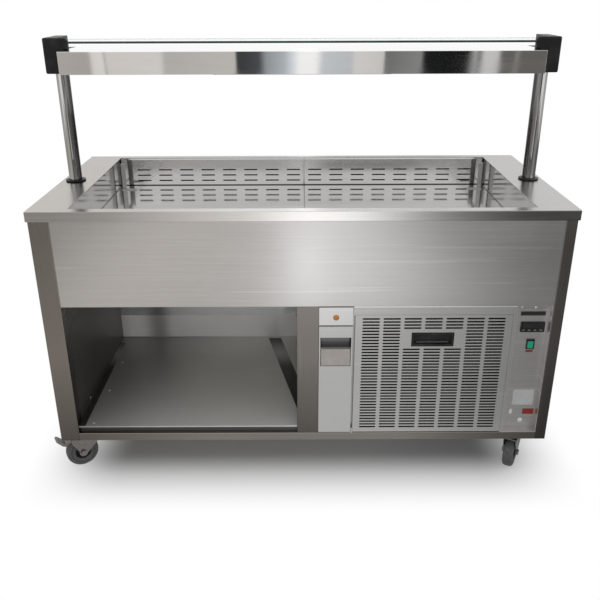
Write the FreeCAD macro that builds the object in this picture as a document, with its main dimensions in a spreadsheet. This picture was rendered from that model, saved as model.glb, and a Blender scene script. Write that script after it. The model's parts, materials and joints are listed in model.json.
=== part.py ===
import FreeCAD, Part
import math
import os
import re
import Sketcher

# Mobile chilled servery counter with a glass-topped gantry.
# Millimetres, +Z up, the operator's front faces -Y, origin on the floor under the counter's middle.

Vector = FreeCAD.Vector
Rotation = FreeCAD.Rotation

SIZES = {
    # Counter and sheet metal
    "counter_width": 1500,
    "counter_depth": 704,
    "counter_height": 860,
    "counter_edge": 28,
    "steel_gauge": 1.5,
    "fold_depth": 20,
    "overcut": 1,
    # Frame
    "castor_height": 132,
    "end_inset": 5,
    "front_inset": 2,
    "tube_wall": 2,
    "leg_depth": 40,
    "left_leg_width": 58,
    "right_leg_width": 32,
    "rear_leg_width": 40,
    "middle_leg_width": 62.5,
    "middle_leg_place": -17.5,
    "rail_height": 25,
    "side_rail_width": 40,
    "corner_plate_length": 88,
    "corner_plate_width": 96,
    "corner_plate_thickness": 4,
    # Cabinet panels and storage bay
    "apron_height": 252,
    "bay_gap": 0.5,
    "shelf_rise": 23,
    "shelf_front_setback": 4,
    "shelf_hem": 4,
    "shelf_hem_depth": 10,
    "storage_back_inset": 80,
    "shelf_upstand": 92,
    "shelf_bearer_width": 25,
    "bay_corner_gap": 5,
    # Chilled well
    "well_rim_end": 110,
    "well_rim_side": 32,
    "deck_drop": 95,
    "tank_depth": 220,
    "insulation_floor": 40,
    "insulation_end": 40,
    "insulation_side": 24,
    "deck_edge_gap": 3,
    "deck_split": 3,
    "deck_split_place": 8,
    "deck_front_gap": 25,
    "deck_back_gap": 6,
    "deck_fold": 12,
    "deck_bearer_height": 12,
    "deck_bearer_width": 20,
    "deck_bearer_setback": 10,
    "bearer_post_side": 20,
    "bearer_post_inset": 40,
    "air_panel_plenum": 10,
    "air_panel_top_drop": 4,
    "air_panel_tuck": 6,
    "air_slot_length": 47,
    "air_slot_height": 4.5,
    "air_inner_margin": 12.5,
    "air_end_margin": 48,
    "air_row_pitch": 19,
    "air_top_row_drop": 39.5,
    "air_slot_count": 8,
    "air_row_count": 3,
    "pan_support_width": 17,
    "pan_support_thickness": 3,
    "pan_support_height": 90,
    "pan_support_inset": 11,
    "pan_support_back": 52,
    "pan_foot_length": 35,
    "pan_foot_breadth": 13,
    # Evaporator under the deck
    "coil_length": 600,
    "coil_depth": 80,
    "coil_height": 100,
    "coil_front": 20,
    "coil_plate": 2,
    "coil_tube_radius": 5,
    "coil_tube_pitch": 30,
    "coil_tube_levels": 3,
    "coil_tube_reach": 12,
    "evaporator_fan_spacing": 300,
    "fan_panel_place": 140,
    "evaporator_fan_radius": 40,
    "evaporator_fan_depth": 14,
    "fan_tip_gap": 3,
    "motor_radius": 18,
    "motor_length": 27,
    "motor_standoff": 26,
    "strut_side": 6,
    "shaft_radius": 2.9,
    "shaft_reach": 20,
    "running_gap": 0.05,
    # Gantry
    "post_inset": 43,
    "post_radius": 19.5,
    "post_rise": 378,
    "collar_radius": 30.5,
    "collar_height": 5,
    "fit_gap": 0.1,
    "canopy_bottom": 330,
    "canopy_height": 61,
    "canopy_end_gap": 33,
    "canopy_depth": 270,
    "canopy_return": 25,
    "cap_bottom": 325,
    "cap_height": 98,
    "cap_foot_width": 61,
    "cap_web": 38,
    "cap_depth": 126,
    "cap_radius": 5,
    "cap_hook_reach": 33,
    "cap_hook_depth": 14,
    "cap_hook_slope": 7,
    "glass_thickness": 6,
    "glass_depth": 118,
    "glass_seat": 5,
    "glass_top_drop": 10,
    "lamp_length": 516,
    "lamp_depth": 90,
    "lamp_bottom": 320,
    "lamp_tube_radius": 8,
    "lamp_tube_rise": 26,
    "lamp_holder": 10,
    "lamp_holder_depth": 24,
    # Machine bay front: indicator plate, drawer, grille and controls
    "face_gap": 0.8,
    "bay_width": 100,
    "indicator_top_drop": 4.5,
    "indicator_height": 56.5,
    "indicator_recess": 3,
    "lens_radius": 8.75,
    "lens_proud": 5,
    "lens_stem_radius": 6,
    "lens_stem_length": 14,
    "lens_drop": 32,
    "drawer_bottom_rise": 2,
    "drawer_top_gap": 2,
    "drawer_side_fold": 15,
    "pull_lip": 36,
    "pull_height": 33,
    "pull_side": 4.5,
    "pull_depth": 27,
    "pull_hook": 21,
    "container_side": 8.5,
    "container_wall": 3,
    "container_top_gap": 14,
    "container_length": 408,
    "runner_width": 10,
    "runner_height": 9.5,
    "runner_side": 6,
    "runner_length": 370,
    "slide_gap": 0.3,
    "control_width": 102,
    "grille_stile_left": 4.5,
    "stile_setback": 14,
    "grille_stile_right": 9.5,
    "grille_header": 26.5,
    "door_gap": 0.5,
    "door_bottom_rise": 3,
    "door_fold": 16,
    "hinge_inset": 6,
    "hinge_pin_radius": 3,
    "hinge_pin_reach": 3.5,
    "hinge_lug_rise": 8,
    "grille_slot_height": 5,
    "grille_slot_land": 10,
    "grille_side_margin": 20.5,
    "grille_slot_count": 7,
    "grille_row_count": 38,
    "grille_top_margin": 12,
    "grille_bottom_margin": 18,
    "handle_width": 123,
    "handle_height": 44,
    "handle_drop": 56,
    "handle_flange": 2,
    "handle_rim": 5,
    "handle_wall": 2.5,
    "handle_depth": 13,
    "control_recess": 28,
    "controller_width": 70,
    "controller_height": 32,
    "controller_bezel": 4,
    "controller_body_length": 60,
    "controller_body_side": 3,
    "controller_left": 23,
    "controller_drop": 62.5,
    "button_count": 4,
    "button_width": 8,
    "button_height": 3.6,
    "button_pitch": 17,
    "button_first": 8,
    "button_rise": 7,
    "button_proud": 1.4,
    "button_length": 6,
    "button_gap": 0.25,
    "button_well": 8,
    "switch_width": 24,
    "switch_height": 32,
    "switch_left": 46,
    "switch_drop": 118.5,
    "switch_bezel": 3,
    "switch_body_length": 24,
    "switch_rim": 3,
    "switch_wall": 1,
    "rocker_gap": 0.9,
    "rocker_tilt": 8,
    "rocker_proud": 1.5,
    "rocker_depth": 8,
    "rocker_heel": 14,
    "rocker_pin_radius": 1.5,
    "rocker_pin_reach": 1,
    # Refrigeration unit
    "base_side_gap": 21,
    "compressor_place": 500,
    "compressor_back": 80,
    "compressor_radius": 72,
    "compressor_body": 160,
    "compressor_crown": 35,
    "compressor_foot_rise": 16,
    "compressor_foot_radius": 12,
    "compressor_plate_length": 190,
    "compressor_plate_width": 150,
    "compressor_plate": 4,
    "condenser_left": 170,
    "condenser_length": 300,
    "condenser_depth": 60,
    "condenser_height": 300,
    "condenser_rise": 16,
    "shroud_depth": 40,
    "condenser_fan_radius": 105,
    "condenser_fan_depth": 24,
    "condenser_motor_radius": 35,
    "condenser_motor_length": 60,
    "condenser_motor_standoff": 24,
    "condenser_strut": 12,
    "condenser_shaft_radius": 4,
    "fan_hub_share": 0.3,
    "fan_blade_count": 5,
    "fan_blade_pitch": 32,
    "fan_blade_thickness": 1.6,
    "pipe_radius": 5,
    "pipe_bend": 12,
    "suction_offset": 20,
    "discharge_offset": -15,
    "discharge_rise": 90,
    "discharge_inset": 30,
    # Castors
    "castor_inset_end": 65,
    "castor_inset_side": 88,
    "castor_plate_length": 95,
    "castor_plate_width": 75,
    "castor_plate_thickness": 4,
    "king_pin_radius": 8,
    "king_pin_head": 12,
    "king_pin_head_height": 3,
    "race_radius": 27,
    "wheel_radius": 50,
    "wheel_width": 32,
    "wheel_trail": 35,
    "tyre_depth": 25,
    "tyre_round": 5,
    "hub_rim": 6,
    "hub_rim_width": 26,
    "hub_web_width": 9,
    "hub_boss_radius": 13,
    "hub_boss_width": 34,
    "axle_radius": 6,
    "axle_head_radius": 9,
    "axle_head": 5,
    "fork_gap": 1.5,
    "fork_wall": 3,
    "crown_top_drop": 20,
    "crown_thickness": 4,
    "crown_front": 26,
    "crown_back": 68,
    "ear_height": 20,
    "axle_eye": 13,
    "pedal_pivot_back": 60,
    "pedal_pivot_rise": 101.5,
    "pedal_hub": 5.5,
    "pedal_pin_radius": 3,
    "pedal_width": 30,
    "pedal_thickness": 5,
    "pedal_knee_back": 90,
    "pedal_knee_rise": 90,
    "pedal_tip_back": 112,
    "pedal_tip_rise": 115,
    "pedal_gap": 0.4,
    "castor_turn_front_left": 30,
    "castor_turn_front_right": 62,
    "castor_turn_rear_right": 210,
    "castor_turn_rear_left": 242,
}

# Places worked out from the sizes above
PLACES = {
    "half_width": "counter_width / 2",
    "half_depth": "counter_depth / 2",
    "top_under": "counter_height - steel_gauge",
    "apron_top": "counter_height - counter_edge",
    "apron_bottom": "apron_top - apron_height",
    "frame_side": "half_width - end_inset",
    "frame_front": "front_inset - half_depth",
    "frame_back": "half_depth - front_inset",
    "rail_top": "castor_height + rail_height",
    "left_leg_inner": "left_leg_width - frame_side",
    "right_leg_inner": "frame_side - right_leg_width",
    "leg_back": "frame_front + leg_depth",
    "rear_leg_front": "frame_back - leg_depth",
    "rear_leg_inner": "frame_side - rear_leg_width",
    "side_rail_inner": "frame_side - side_rail_width",
    "middle_leg_right": "middle_leg_place + middle_leg_width",
    "shelf_top": "rail_top + shelf_rise",
    "shelf_under": "shelf_top - steel_gauge",
    "shelf_front": "frame_front + shelf_front_setback",
    "shelf_back": "frame_back - storage_back_inset",
    "shelf_left": "left_leg_inner + bay_gap",
    "shelf_right": "middle_leg_place - bay_gap",
    "well_side": "half_width - well_rim_end",
    "well_back": "half_depth - well_rim_side",
    "tank_floor": "counter_height - tank_depth",
    "tank_under": "tank_floor - steel_gauge",
    "casing_bottom": "tank_under - insulation_floor",
    "deck_top": "counter_height - deck_drop",
    "deck_under": "deck_top - steel_gauge",
    "deck_side": "well_side - deck_edge_gap",
    "deck_front": "deck_front_gap - well_back",
    "air_panel_front": "well_back - air_panel_plenum - steel_gauge",
    "air_panel_back": "well_back - air_panel_plenum",
    "split_left": "deck_split_place - deck_split / 2",
    "split_right": "deck_split_place + deck_split / 2",
    "air_slot_run": "deck_side - air_inner_margin - air_end_margin - air_slot_length",
    "air_slot_pitch": "air_slot_run / (air_slot_count - 1)",
    "deck_back": "air_panel_front - deck_back_gap",
    "bearer_bottom": "deck_under - deck_bearer_height",
    "bearer_front": "deck_front + deck_bearer_setback",
    "bearer_back": "deck_back - deck_bearer_setback",
    "support_side": "well_side - pan_support_inset",
    "support_back": "deck_back - pan_support_back + pan_support_thickness",
    "fan_height": "tank_floor + coil_height / 2",
    "fan_panel_back": "fan_panel_place + steel_gauge",
    "motor_front": "fan_panel_back + motor_standoff",
    "post_side": "half_width - post_inset",
    "canopy_low": "counter_height + canopy_bottom",
    "canopy_top": "canopy_low + canopy_height",
    "canopy_side": "post_side - canopy_end_gap",
    "canopy_back": "canopy_depth / 2",
    "cap_low": "counter_height + cap_bottom",
    "cap_top": "cap_low + cap_height",
    "cap_side": "canopy_side + cap_foot_width",
    "cap_inner": "cap_side - cap_web",
    "cap_back": "cap_depth / 2",
    "hook_inner": "cap_inner - cap_hook_reach",
    "glass_top": "cap_top - glass_top_drop",
    "glass_under": "glass_top - glass_thickness",
    "glass_side": "cap_inner + glass_seat",
    "glass_back": "glass_depth / 2",
    "lamp_low": "counter_height + lamp_bottom",
    "lamp_side": "lamp_length / 2",
    "lamp_back": "lamp_depth / 2",
    "lamp_top": "canopy_top - steel_gauge",
    "tube_end": "lamp_side - steel_gauge - lamp_holder",
    "grille_left": "middle_leg_right + bay_width",
    "grille_right": "right_leg_inner - control_width",
    "grille_top": "apron_bottom - bay_gap",
    "grille_opening_left": "grille_left + grille_stile_left",
    "grille_opening_right": "grille_right - grille_stile_right",
    "grille_opening_top": "grille_top - grille_header",
    "face_left": "middle_leg_right + face_gap",
    "face_right": "grille_left - face_gap",
    "indicator_top": "apron_bottom - indicator_top_drop",
    "indicator_bottom": "indicator_top - indicator_height",
    "indicator_front": "frame_front + indicator_recess",
    "lens_height": "indicator_top - lens_drop",
    "lens_place": "(face_left + face_right) / 2",
    "drawer_top": "indicator_bottom - drawer_top_gap",
    "drawer_bottom": "rail_top + drawer_bottom_rise",
    "face_back": "frame_front + steel_gauge",
    "pull_left": "face_left + pull_side",
    "pull_right": "face_right - pull_side",
    "pull_top": "drawer_top - pull_lip",
    "pull_bottom": "pull_top - pull_height",
    "pull_back": "frame_front + pull_depth",
    "hook_top": "pull_top + pull_hook",
    "base_top": "rail_top + steel_gauge",
    "container_left": "face_left + container_side",
    "container_right": "face_right - container_side",
    "container_bottom": "base_top + runner_height + slide_gap",
    "container_top": "pull_bottom - container_top_gap",
    "container_back": "face_back + container_length",
    "runner_front": "leg_back",
    "door_left": "grille_opening_left + door_gap",
    "door_right": "grille_opening_right - door_gap",
    "door_top": "grille_opening_top - door_gap",
    "door_bottom": "rail_top + door_bottom_rise",
    "door_back": "frame_front + door_fold",
    "grille_slot_run": "door_right - door_left - 2 * grille_side_margin + grille_slot_land",
    "grille_slot_pitch": "grille_slot_run / grille_slot_count",
    "grille_slot_length": "grille_slot_pitch - grille_slot_land",
    "grille_row_run": "door_top - door_bottom - grille_top_margin - grille_bottom_margin",
    "grille_row_pitch": "grille_row_run / (grille_row_count - 1)",
    "hinge_height": "door_bottom + hinge_inset",
    "hinge_place": "frame_front + hinge_inset",
    "handle_place": "(door_left + door_right) / 2",
    "handle_top": "door_top - handle_drop",
    "handle_bottom": "handle_top - handle_height",
    "control_left": "grille_right + bay_gap",
    "control_right": "right_leg_inner - bay_gap",
    "control_face": "frame_front + control_recess",
    "control_back": "control_face + steel_gauge",
    "controller_place": "control_left + controller_left",
    "controller_top": "grille_top - controller_drop",
    "controller_bottom": "controller_top - controller_height",
    "controller_front": "control_face - controller_bezel",
    "switch_place": "control_left + switch_left",
    "switch_top": "grille_top - switch_drop",
    "switch_bottom": "switch_top - switch_height",
    "switch_front": "control_face - switch_bezel",
    "rocker_place": "switch_place + switch_width / 2",
    "rocker_height": "switch_bottom + switch_height / 2",
    "rocker_pivot": "switch_front + rocker_depth / 2",
    "rocker_half": "switch_height / 2 - switch_rim - rocker_gap",
    "condenser_right": "condenser_left + condenser_length",
    "condenser_front": "leg_back",
    "condenser_back": "condenser_front + condenser_depth",
    "condenser_bottom": "base_top + condenser_rise",
    "condenser_top": "condenser_bottom + condenser_height",
    "condenser_middle": "condenser_left + condenser_length / 2",
    "condenser_fan_height": "condenser_bottom + condenser_height / 2",
    "shroud_back": "condenser_back + shroud_depth",
    "condenser_motor_front": "shroud_back + condenser_motor_standoff",
    "compressor_low": "base_top + compressor_foot_rise + compressor_plate",
    "compressor_top": "compressor_low + compressor_body",
    "pivot_side": "frame_side - castor_inset_end",
    "pivot_back": "frame_back - castor_inset_side",
    "castor_plate_under": "castor_height - castor_plate_thickness",
    "crown_top": "castor_height - crown_top_drop",
    "crown_under": "crown_top - crown_thickness",
    "fork_inner": "wheel_width / 2 + fork_gap",
    "fork_outer": "fork_inner + fork_wall",
    "rim_radius": "wheel_radius - tyre_depth",
}

doc = FreeCAD.newDocument("ServeryCounter")
sheet = doc.addObject("Spreadsheet::Sheet", "Sizes")
for row, (alias, size) in enumerate(SIZES.items(), start=1):
    sheet.set(f"A{row}", alias.replace("_", " "))
    sheet.set(f"B{row}", str(size))
    sheet.setAlias(f"B{row}", alias)
doc.recompute()

nodes = []


def formula(text):
    """Spell a size or place out as an expression on the sheet's cells."""
    def swap(match):
        word = match.group(0)
        if word in PLACES:
            return "(" + formula(PLACES[word]) + ")"
        return "Sizes." + word if word in SIZES else word
    return re.sub(r"[a-z][a-z0-9_]*", swap, str(text))


def value(text):
    """The number that a size or place has now."""
    return float(sheet.evalExpression(formula(text)))


def bind(thing, prop, text):
    thing.setExpression(prop, formula(text))


def place(thing, x, y, z):
    for axis, text in zip("xyz", (x, y, z)):
        bind(thing, f"Placement.Base.{axis}", text)
    return thing


def node(thing, label):
    """Name a finished sub-part, which is written to its own file."""
    thing.Label = label
    nodes.append(thing)
    return thing


# Part primitives and booleans
def box(name, x, y, z):
    """A block between two places on each axis."""
    block = doc.addObject("Part::Box", name)
    for prop, (low, high) in zip(("Length", "Width", "Height"), (x, y, z)):
        bind(block, prop, f"({high}) - ({low})")
    return place(block, x[0], y[0], z[0])


AXIS_TURNS = {
    "x": Rotation(Vector(0, 1, 0), 90),
    "y": Rotation(Vector(1, 0, 0), -90),
    "z": Rotation(),
}


def rod(name, axis, start, radius, length):
    """A round bar that runs from start along +axis."""
    bar = doc.addObject("Part::Cylinder", name)
    bind(bar, "Radius", radius)
    bind(bar, "Height", length)
    bar.Placement.Rotation = AXIS_TURNS[axis]
    return place(bar, *start)


def group(name, pieces):
    gathered = doc.addObject("Part::Compound", name)
    gathered.Links = pieces
    return gathered


def join(name, pieces):
    joined = doc.addObject("Part::MultiFuse", name)
    joined.Shapes = pieces
    joined.Refine = True
    return joined


def cut(name, base, tools):
    hollowed = doc.addObject("Part::Cut", name)
    hollowed.Base = base
    hollowed.Tool = tools[0] if len(tools) == 1 else group(name + "Tools", tools)
    return hollowed


def shrink(span, low_wall, high_wall):
    return (f"{span[0]} + {low_wall}", f"{span[1]} - {high_wall}")


def tube(name, x, y, z, axis):
    """A square-section tube along one axis, open at its ends."""
    spans = {"x": x, "y": y, "z": z}
    inner = [spans[k] if k == axis else shrink(spans[k], "tube_wall", "tube_wall") for k in "xyz"]
    return cut(name, box(name + "Outer", x, y, z), [box(name + "Bore", *inner)])


def tray(name, x, y, z, walls):
    """A folded sheet: a block hollowed from the sides that have no wall."""
    spans = []
    for key, span in zip("xyz", (x, y, z)):
        low = "steel_gauge" if "-" + key in walls else "-steel_gauge"
        high = "steel_gauge" if "+" + key in walls else "-steel_gauge"
        spans.append(shrink(span, low, high))
    return cut(name, box(name + "Sheet", x, y, z), [box(name + "Inside", *spans)])


# PartDesign bodies from sketches
def new_sketch(body, name, role, offset="0", rise="0"):
    sketch = body.newObject("Sketcher::SketchObject", name)
    base = [plane for plane in body.Origin.OriginFeatures if plane.Role == role]
    sketch.AttachmentSupport = (base[0], [""])
    sketch.MapMode = "FlatFace"
    bind(sketch, "AttachmentOffset.Base.z", offset)
    bind(sketch, "AttachmentOffset.Base.y", rise)
    return sketch


def fix_point(sketch, geometry, point, u, v):
    for kind, text in (("DistanceX", u), ("DistanceY", v)):
        index = sketch.addConstraint(Sketcher.Constraint(kind, -1, 1, geometry, point, value(text)))
        bind(sketch, f"Constraints[{index}]", text)


def draw_outline(sketch, points):
    """A closed outline of straight runs, each corner fixed by its two places."""
    corners = [Vector(value(u), value(v), 0) for u, v in points]
    count = len(corners)
    for index, corner in enumerate(corners):
        sketch.addGeometry(Part.LineSegment(corner, corners[(index + 1) % count]), False)
    for index in range(count):
        sketch.addConstraint(Sketcher.Constraint("Coincident", index, 2, (index + 1) % count, 1))
    for index, (u, v) in enumerate(points):
        fix_point(sketch, index, 1, u, v)


def draw_circle(sketch, u, v, radius):
    centre = Vector(value(u), value(v), 0)
    index = sketch.addGeometry(Part.Circle(centre, Vector(0, 0, 1), value(radius)), False)
    fix_point(sketch, index, 3, u, v)
    ring = sketch.addConstraint(Sketcher.Constraint("Radius", index, value(radius)))
    bind(sketch, f"Constraints[{ring}]", radius)


def feature(body, kind, name, sketch, length=None, both_ways=False, backwards=False):
    made = body.newObject("PartDesign::" + kind, name)
    made.Profile = sketch
    if length:
        bind(made, "Length", length)
    if both_ways:
        made.SideType = "Symmetric"
    made.Reversed = backwards
    return made


def padded_outline(name, role, points, offset, length, both_ways=False):
    """A body padded from one outline."""
    body = doc.addObject("PartDesign::Body", name)
    sketch = new_sketch(body, name + "Outline", role, offset)
    draw_outline(sketch, points)
    feature(body, "Pad", name + "Pad", sketch, length, both_ways)
    return body


def spun_outline(name, role, points, offset="0", rise="0", axis="H_Axis"):
    """A body spun from one outline about its sketch's axis."""
    body = doc.addObject("PartDesign::Body", name)
    sketch = new_sketch(body, name + "Outline", role, offset, rise)
    draw_outline(sketch, points)
    spin = feature(body, "Revolution", name + "Spin", sketch)
    spin.ReferenceAxis = (sketch, [axis])
    spin.Angle = 360
    return body


def round_edges(body, name, radius, wanted):
    """Round the edges of a body's last feature that the test picks out."""
    doc.recompute()
    last = body.Tip
    edges = [f"Edge{i}" for i, edge in enumerate(last.Shape.Edges, start=1) if wanted(edge)]
    rounding = body.newObject("PartDesign::Fillet", name)
    rounding.Base = (last, edges)
    bind(rounding, "Radius", radius)
    return rounding


# Sheets with slots
def slot_wire(x, z, length, height):
    """The outline of one round-ended slot in the XZ plane."""
    reach = (length - height) / 2
    half = height / 2
    top_left = Vector(x - reach, 0, z + half)
    top_right = Vector(x + reach, 0, z + half)
    low_right = Vector(x + reach, 0, z - half)
    low_left = Vector(x - reach, 0, z - half)
    right_end = Part.Arc(top_right, Vector(x + reach + half, 0, z), low_right)
    left_end = Part.Arc(low_left, Vector(x - reach - half, 0, z), top_left)
    edges = [Part.LineSegment(top_left, top_right), right_end,
             Part.LineSegment(low_right, low_left), left_end]
    return Part.Wire([edge.toShape() for edge in edges])


def holed_sheet(name, x, z, front, holes):
    """A flat sheet of the steel gauge with its holes, facing -Y."""
    x_low, x_high, z_low, z_high = [value(text) for text in (*x, *z)]
    corners = [Vector(x_low, 0, z_low), Vector(x_high, 0, z_low),
               Vector(x_high, 0, z_high), Vector(x_low, 0, z_high)]
    rim = Part.makePolygon(corners + corners[:1])
    face = doc.addObject("Part::Feature", name + "Face")
    face.Shape = Part.makeFace([rim] + holes, "Part::FaceMakerBullseye")
    bind(face, "Placement.Base.y", front)
    pressed = doc.addObject("Part::Extrusion", name)
    pressed.Base = face
    pressed.DirMode = "Custom"
    pressed.Dir = Vector(0, 1, 0)
    bind(pressed, "LengthFwd", "steel_gauge")
    pressed.Solid = True
    return pressed


def square_hole(x, z):
    x_low, x_high, z_low, z_high = [value(text) for text in (*x, *z)]
    corners = [Vector(x_low, 0, z_low), Vector(x_low, 0, z_high),
               Vector(x_high, 0, z_high), Vector(x_high, 0, z_low)]
    return Part.makePolygon(corners + corners[:1])


# Fans
def fan(name, centre, radius, depth, shaft_radius, shaft_length):
    """An axial fan along Y: a hub with its shaft to the back, and pitched blades."""
    r_tip = value(radius)
    r_hub = r_tip * value("fan_hub_share")
    thick = value("fan_blade_thickness")
    deep = value(depth)
    pitch = value("fan_blade_pitch")
    chord = deep / math.sin(math.radians(pitch)) - 2 * thick
    root = r_hub - 2 * thick
    along = Vector(0, 1, 0)
    hub = Part.makeCylinder(r_hub, deep, Vector(0, -deep / 2, 0), along)
    shaft = Part.makeCylinder(value(shaft_radius), value(shaft_length), Vector(0, deep / 2, 0), along)
    pieces = [shaft]
    blade_count = int(value("fan_blade_count"))
    tip = Part.makeCylinder(r_tip, 2 * deep, Vector(0, -deep, 0), along)
    for turn in range(blade_count):
        blade = Part.makeBox(chord, thick, r_tip - root + thick, Vector(-chord / 2, -thick / 2, root))
        blade.rotate(Vector(), Vector(0, 0, 1), pitch)
        blade.rotate(Vector(), along, turn * 360 / blade_count)
        pieces.append(blade.common(tip))
    made = doc.addObject("Part::Feature", name)
    made.Shape = hub.multiFuse(pieces).removeSplitter()
    return place(made, *centre)


def bent_pipe(name, points, radius, bend):
    """A round pipe along straight runs with a tangent arc at each corner."""
    places = [Vector(*[value(text) for text in point]) for point in points]
    reach = value(bend)
    edges = []
    start = places[0]
    for before, corner, after in zip(places, places[1:], places[2:]):
        inward = (before - corner).normalize()
        outward = (after - corner).normalize()
        first = corner + inward * reach
        last = corner + outward * reach
        inside = corner + (inward + outward) * reach
        middle = inside - (inward + outward).normalize() * reach
        edges.append(Part.LineSegment(start, first).toShape())
        edges.append(Part.Arc(first, middle, last).toShape())
        start = last
    edges.append(Part.LineSegment(start, places[-1]).toShape())
    ring = Part.makeCircle(value(radius), places[0], places[1] - places[0])
    made = doc.addObject("Part::Feature", name)
    made.Shape = Part.Wire(edges).makePipeShell([Part.Wire([ring])], True, False)
    return made


def mirrored_span(low, high):
    return (f"-({high})", f"-({low})")


# Frame: five legs and the rails that join them
def make_frame():
    rear_left = mirrored_span("rear_leg_inner", "frame_side")
    height = ("castor_height", "top_under")
    front_row = ("frame_front", "leg_back")
    back_row = ("rear_leg_front", "frame_back")
    legs = [
        tube("LegFrontLeft", ("-frame_side", "left_leg_inner"), front_row, height, "z"),
        tube("LegFrontRight", ("right_leg_inner", "frame_side"), front_row, height, "z"),
        tube("LegRearLeft", rear_left, back_row, height, "z"),
        tube("LegRearRight", ("rear_leg_inner", "frame_side"), back_row, height, "z"),
        tube("LegMiddle", ("middle_leg_place", "middle_leg_right"), front_row,
             ("rail_top", "apron_bottom"), "z"),
    ]
    node(group("FrameLegs", legs), "frame_legs")

    level = ("castor_height", "rail_top")
    between = ("leg_back", "rear_leg_front")
    rails = [
        tube("RailFront", ("left_leg_inner", "right_leg_inner"), front_row, level, "x"),
        tube("RailRear", ("-rear_leg_inner", "rear_leg_inner"), back_row, level, "x"),
        tube("RailLeft", mirrored_span("side_rail_inner", "frame_side"), between, level, "y"),
        tube("RailRight", ("side_rail_inner", "frame_side"), between, level, "y"),
        tube("RailMiddle", ("middle_leg_place", "middle_leg_right"), between, level, "y"),
    ]
    plate_x = ("side_rail_inner - corner_plate_length", "side_rail_inner")
    plate_y = ("rear_leg_front - corner_plate_width", "rear_leg_front")
    plate_z = ("castor_height", "castor_height + corner_plate_thickness")
    for side, x in (("Left", mirrored_span(*plate_x)), ("Right", plate_x)):
        for end, y in (("Front", mirrored_span(*plate_y)), ("Rear", plate_y)):
            rails.append(box(f"CornerPlate{end}{side}", x, y, plate_z))
    bearer_y = ("frame_front + fold_depth", "frame_back - fold_depth")
    bearer_z = ("rail_top", "shelf_under")
    rails.append(box("ShelfBearerLeft", ("shelf_left", "shelf_left + shelf_bearer_width"),
                     bearer_y, bearer_z))
    rails.append(box("ShelfBearerRight", ("shelf_right - shelf_bearer_width", "shelf_right"),
                     bearer_y, bearer_z))
    node(group("FrameRails", rails), "frame_rails")


# Cabinet panels
def make_panels():
    apron_z = ("apron_bottom", "apron_top")
    node(tray("FrontPanel", ("left_leg_inner", "right_leg_inner"),
              ("frame_front", "frame_front + fold_depth"), apron_z, ("-x", "+x", "-y", "-z")), "front_panel")
    full_z = ("rail_top", "apron_top")
    node(tray("RearPanel", ("-rear_leg_inner", "rear_leg_inner"),
              ("frame_back - fold_depth", "frame_back"), full_z, ("-x", "+x", "+y", "-z")), "rear_panel")
    between = ("leg_back", "rear_leg_front")
    folded = ("frame_side - fold_depth", "frame_side")
    ends = [
        tray("EndPanelLeft", mirrored_span(*folded), between, full_z, ("-x", "-y", "+y", "-z", "+z")),
        tray("EndPanelRight", folded, between, full_z, ("+x", "-y", "+y", "-z", "+z")),
    ]
    node(group("EndPanels", ends), "end_panels")
    inside_z = ("rail_top", "casing_bottom")
    node(box("BaySideLiner", ("left_leg_inner - steel_gauge", "left_leg_inner"),
             ("leg_back", "shelf_back - bay_corner_gap"), inside_z), "bay_side_liner")
    node(box("PartitionPanel", ("middle_leg_place", "middle_leg_place + steel_gauge"),
             ("leg_back", "frame_back - fold_depth"), inside_z), "partition_panel")
    node(box("StorageBackPanel", ("shelf_left", "shelf_right"),
             ("shelf_back", "shelf_back + steel_gauge"), ("shelf_under", "casing_bottom")),
         "storage_back_panel")


# Base shelf: one folded sheet with a hemmed front edge, a front skirt and a rear upstand
def make_base_shelf():
    skirt_front = "shelf_front + shelf_hem_depth"
    profile = [
        ("shelf_front", "shelf_top"),
        ("shelf_front", "shelf_top - shelf_hem"),
        (skirt_front, "shelf_top - shelf_hem"),
        (skirt_front, "rail_top"),
        (f"{skirt_front} + steel_gauge", "rail_top"),
        (f"{skirt_front} + steel_gauge", "shelf_under"),
        ("shelf_back", "shelf_under"),
        ("shelf_back", "shelf_top + shelf_upstand"),
        ("shelf_back - steel_gauge", "shelf_top + shelf_upstand"),
        ("shelf_back - steel_gauge", "shelf_top"),
    ]
    node(padded_outline("BaseShelf", "YZ_Plane", profile, "shelf_left", "shelf_right - shelf_left"),
         "base_shelf")


# Counter top, tank and insulation
def make_well():
    open_x = ("-well_side", "well_side")
    open_y = ("-well_back", "well_back")
    top = box("TopSheet", ("-half_width", "half_width"), ("-half_depth", "half_depth"),
              ("apron_top", "counter_height"))
    under = box("TopInside", ("steel_gauge - half_width", "half_width - steel_gauge"),
                ("steel_gauge - half_depth", "half_depth - steel_gauge"),
                ("apron_top - steel_gauge", "top_under"))
    mouth = box("WellMouth", open_x, open_y, ("apron_top", "counter_height + steel_gauge"))
    node(cut("CounterTop", top, [under, mouth]), "counter_top")

    liner_x = ("-well_side - steel_gauge", "well_side + steel_gauge")
    liner_y = ("-well_back - steel_gauge", "well_back + steel_gauge")
    liner = box("TankSheet", liner_x, liner_y, ("tank_under", "top_under"))
    hollow = box("TankInside", open_x, open_y, ("tank_floor", "counter_height"))
    node(cut("WellTank", liner, [hollow]), "well_tank")

    foam = box("FoamBlock", shrink(liner_x, "-insulation_end", "-insulation_end"),
               shrink(liner_y, "-insulation_side", "-insulation_side"), ("casing_bottom", "top_under"))
    seat = box("FoamInside", liner_x, liner_y, ("tank_under", "counter_height"))
    node(cut("WellInsulation", foam, [seat]), "well_insulation")


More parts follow.
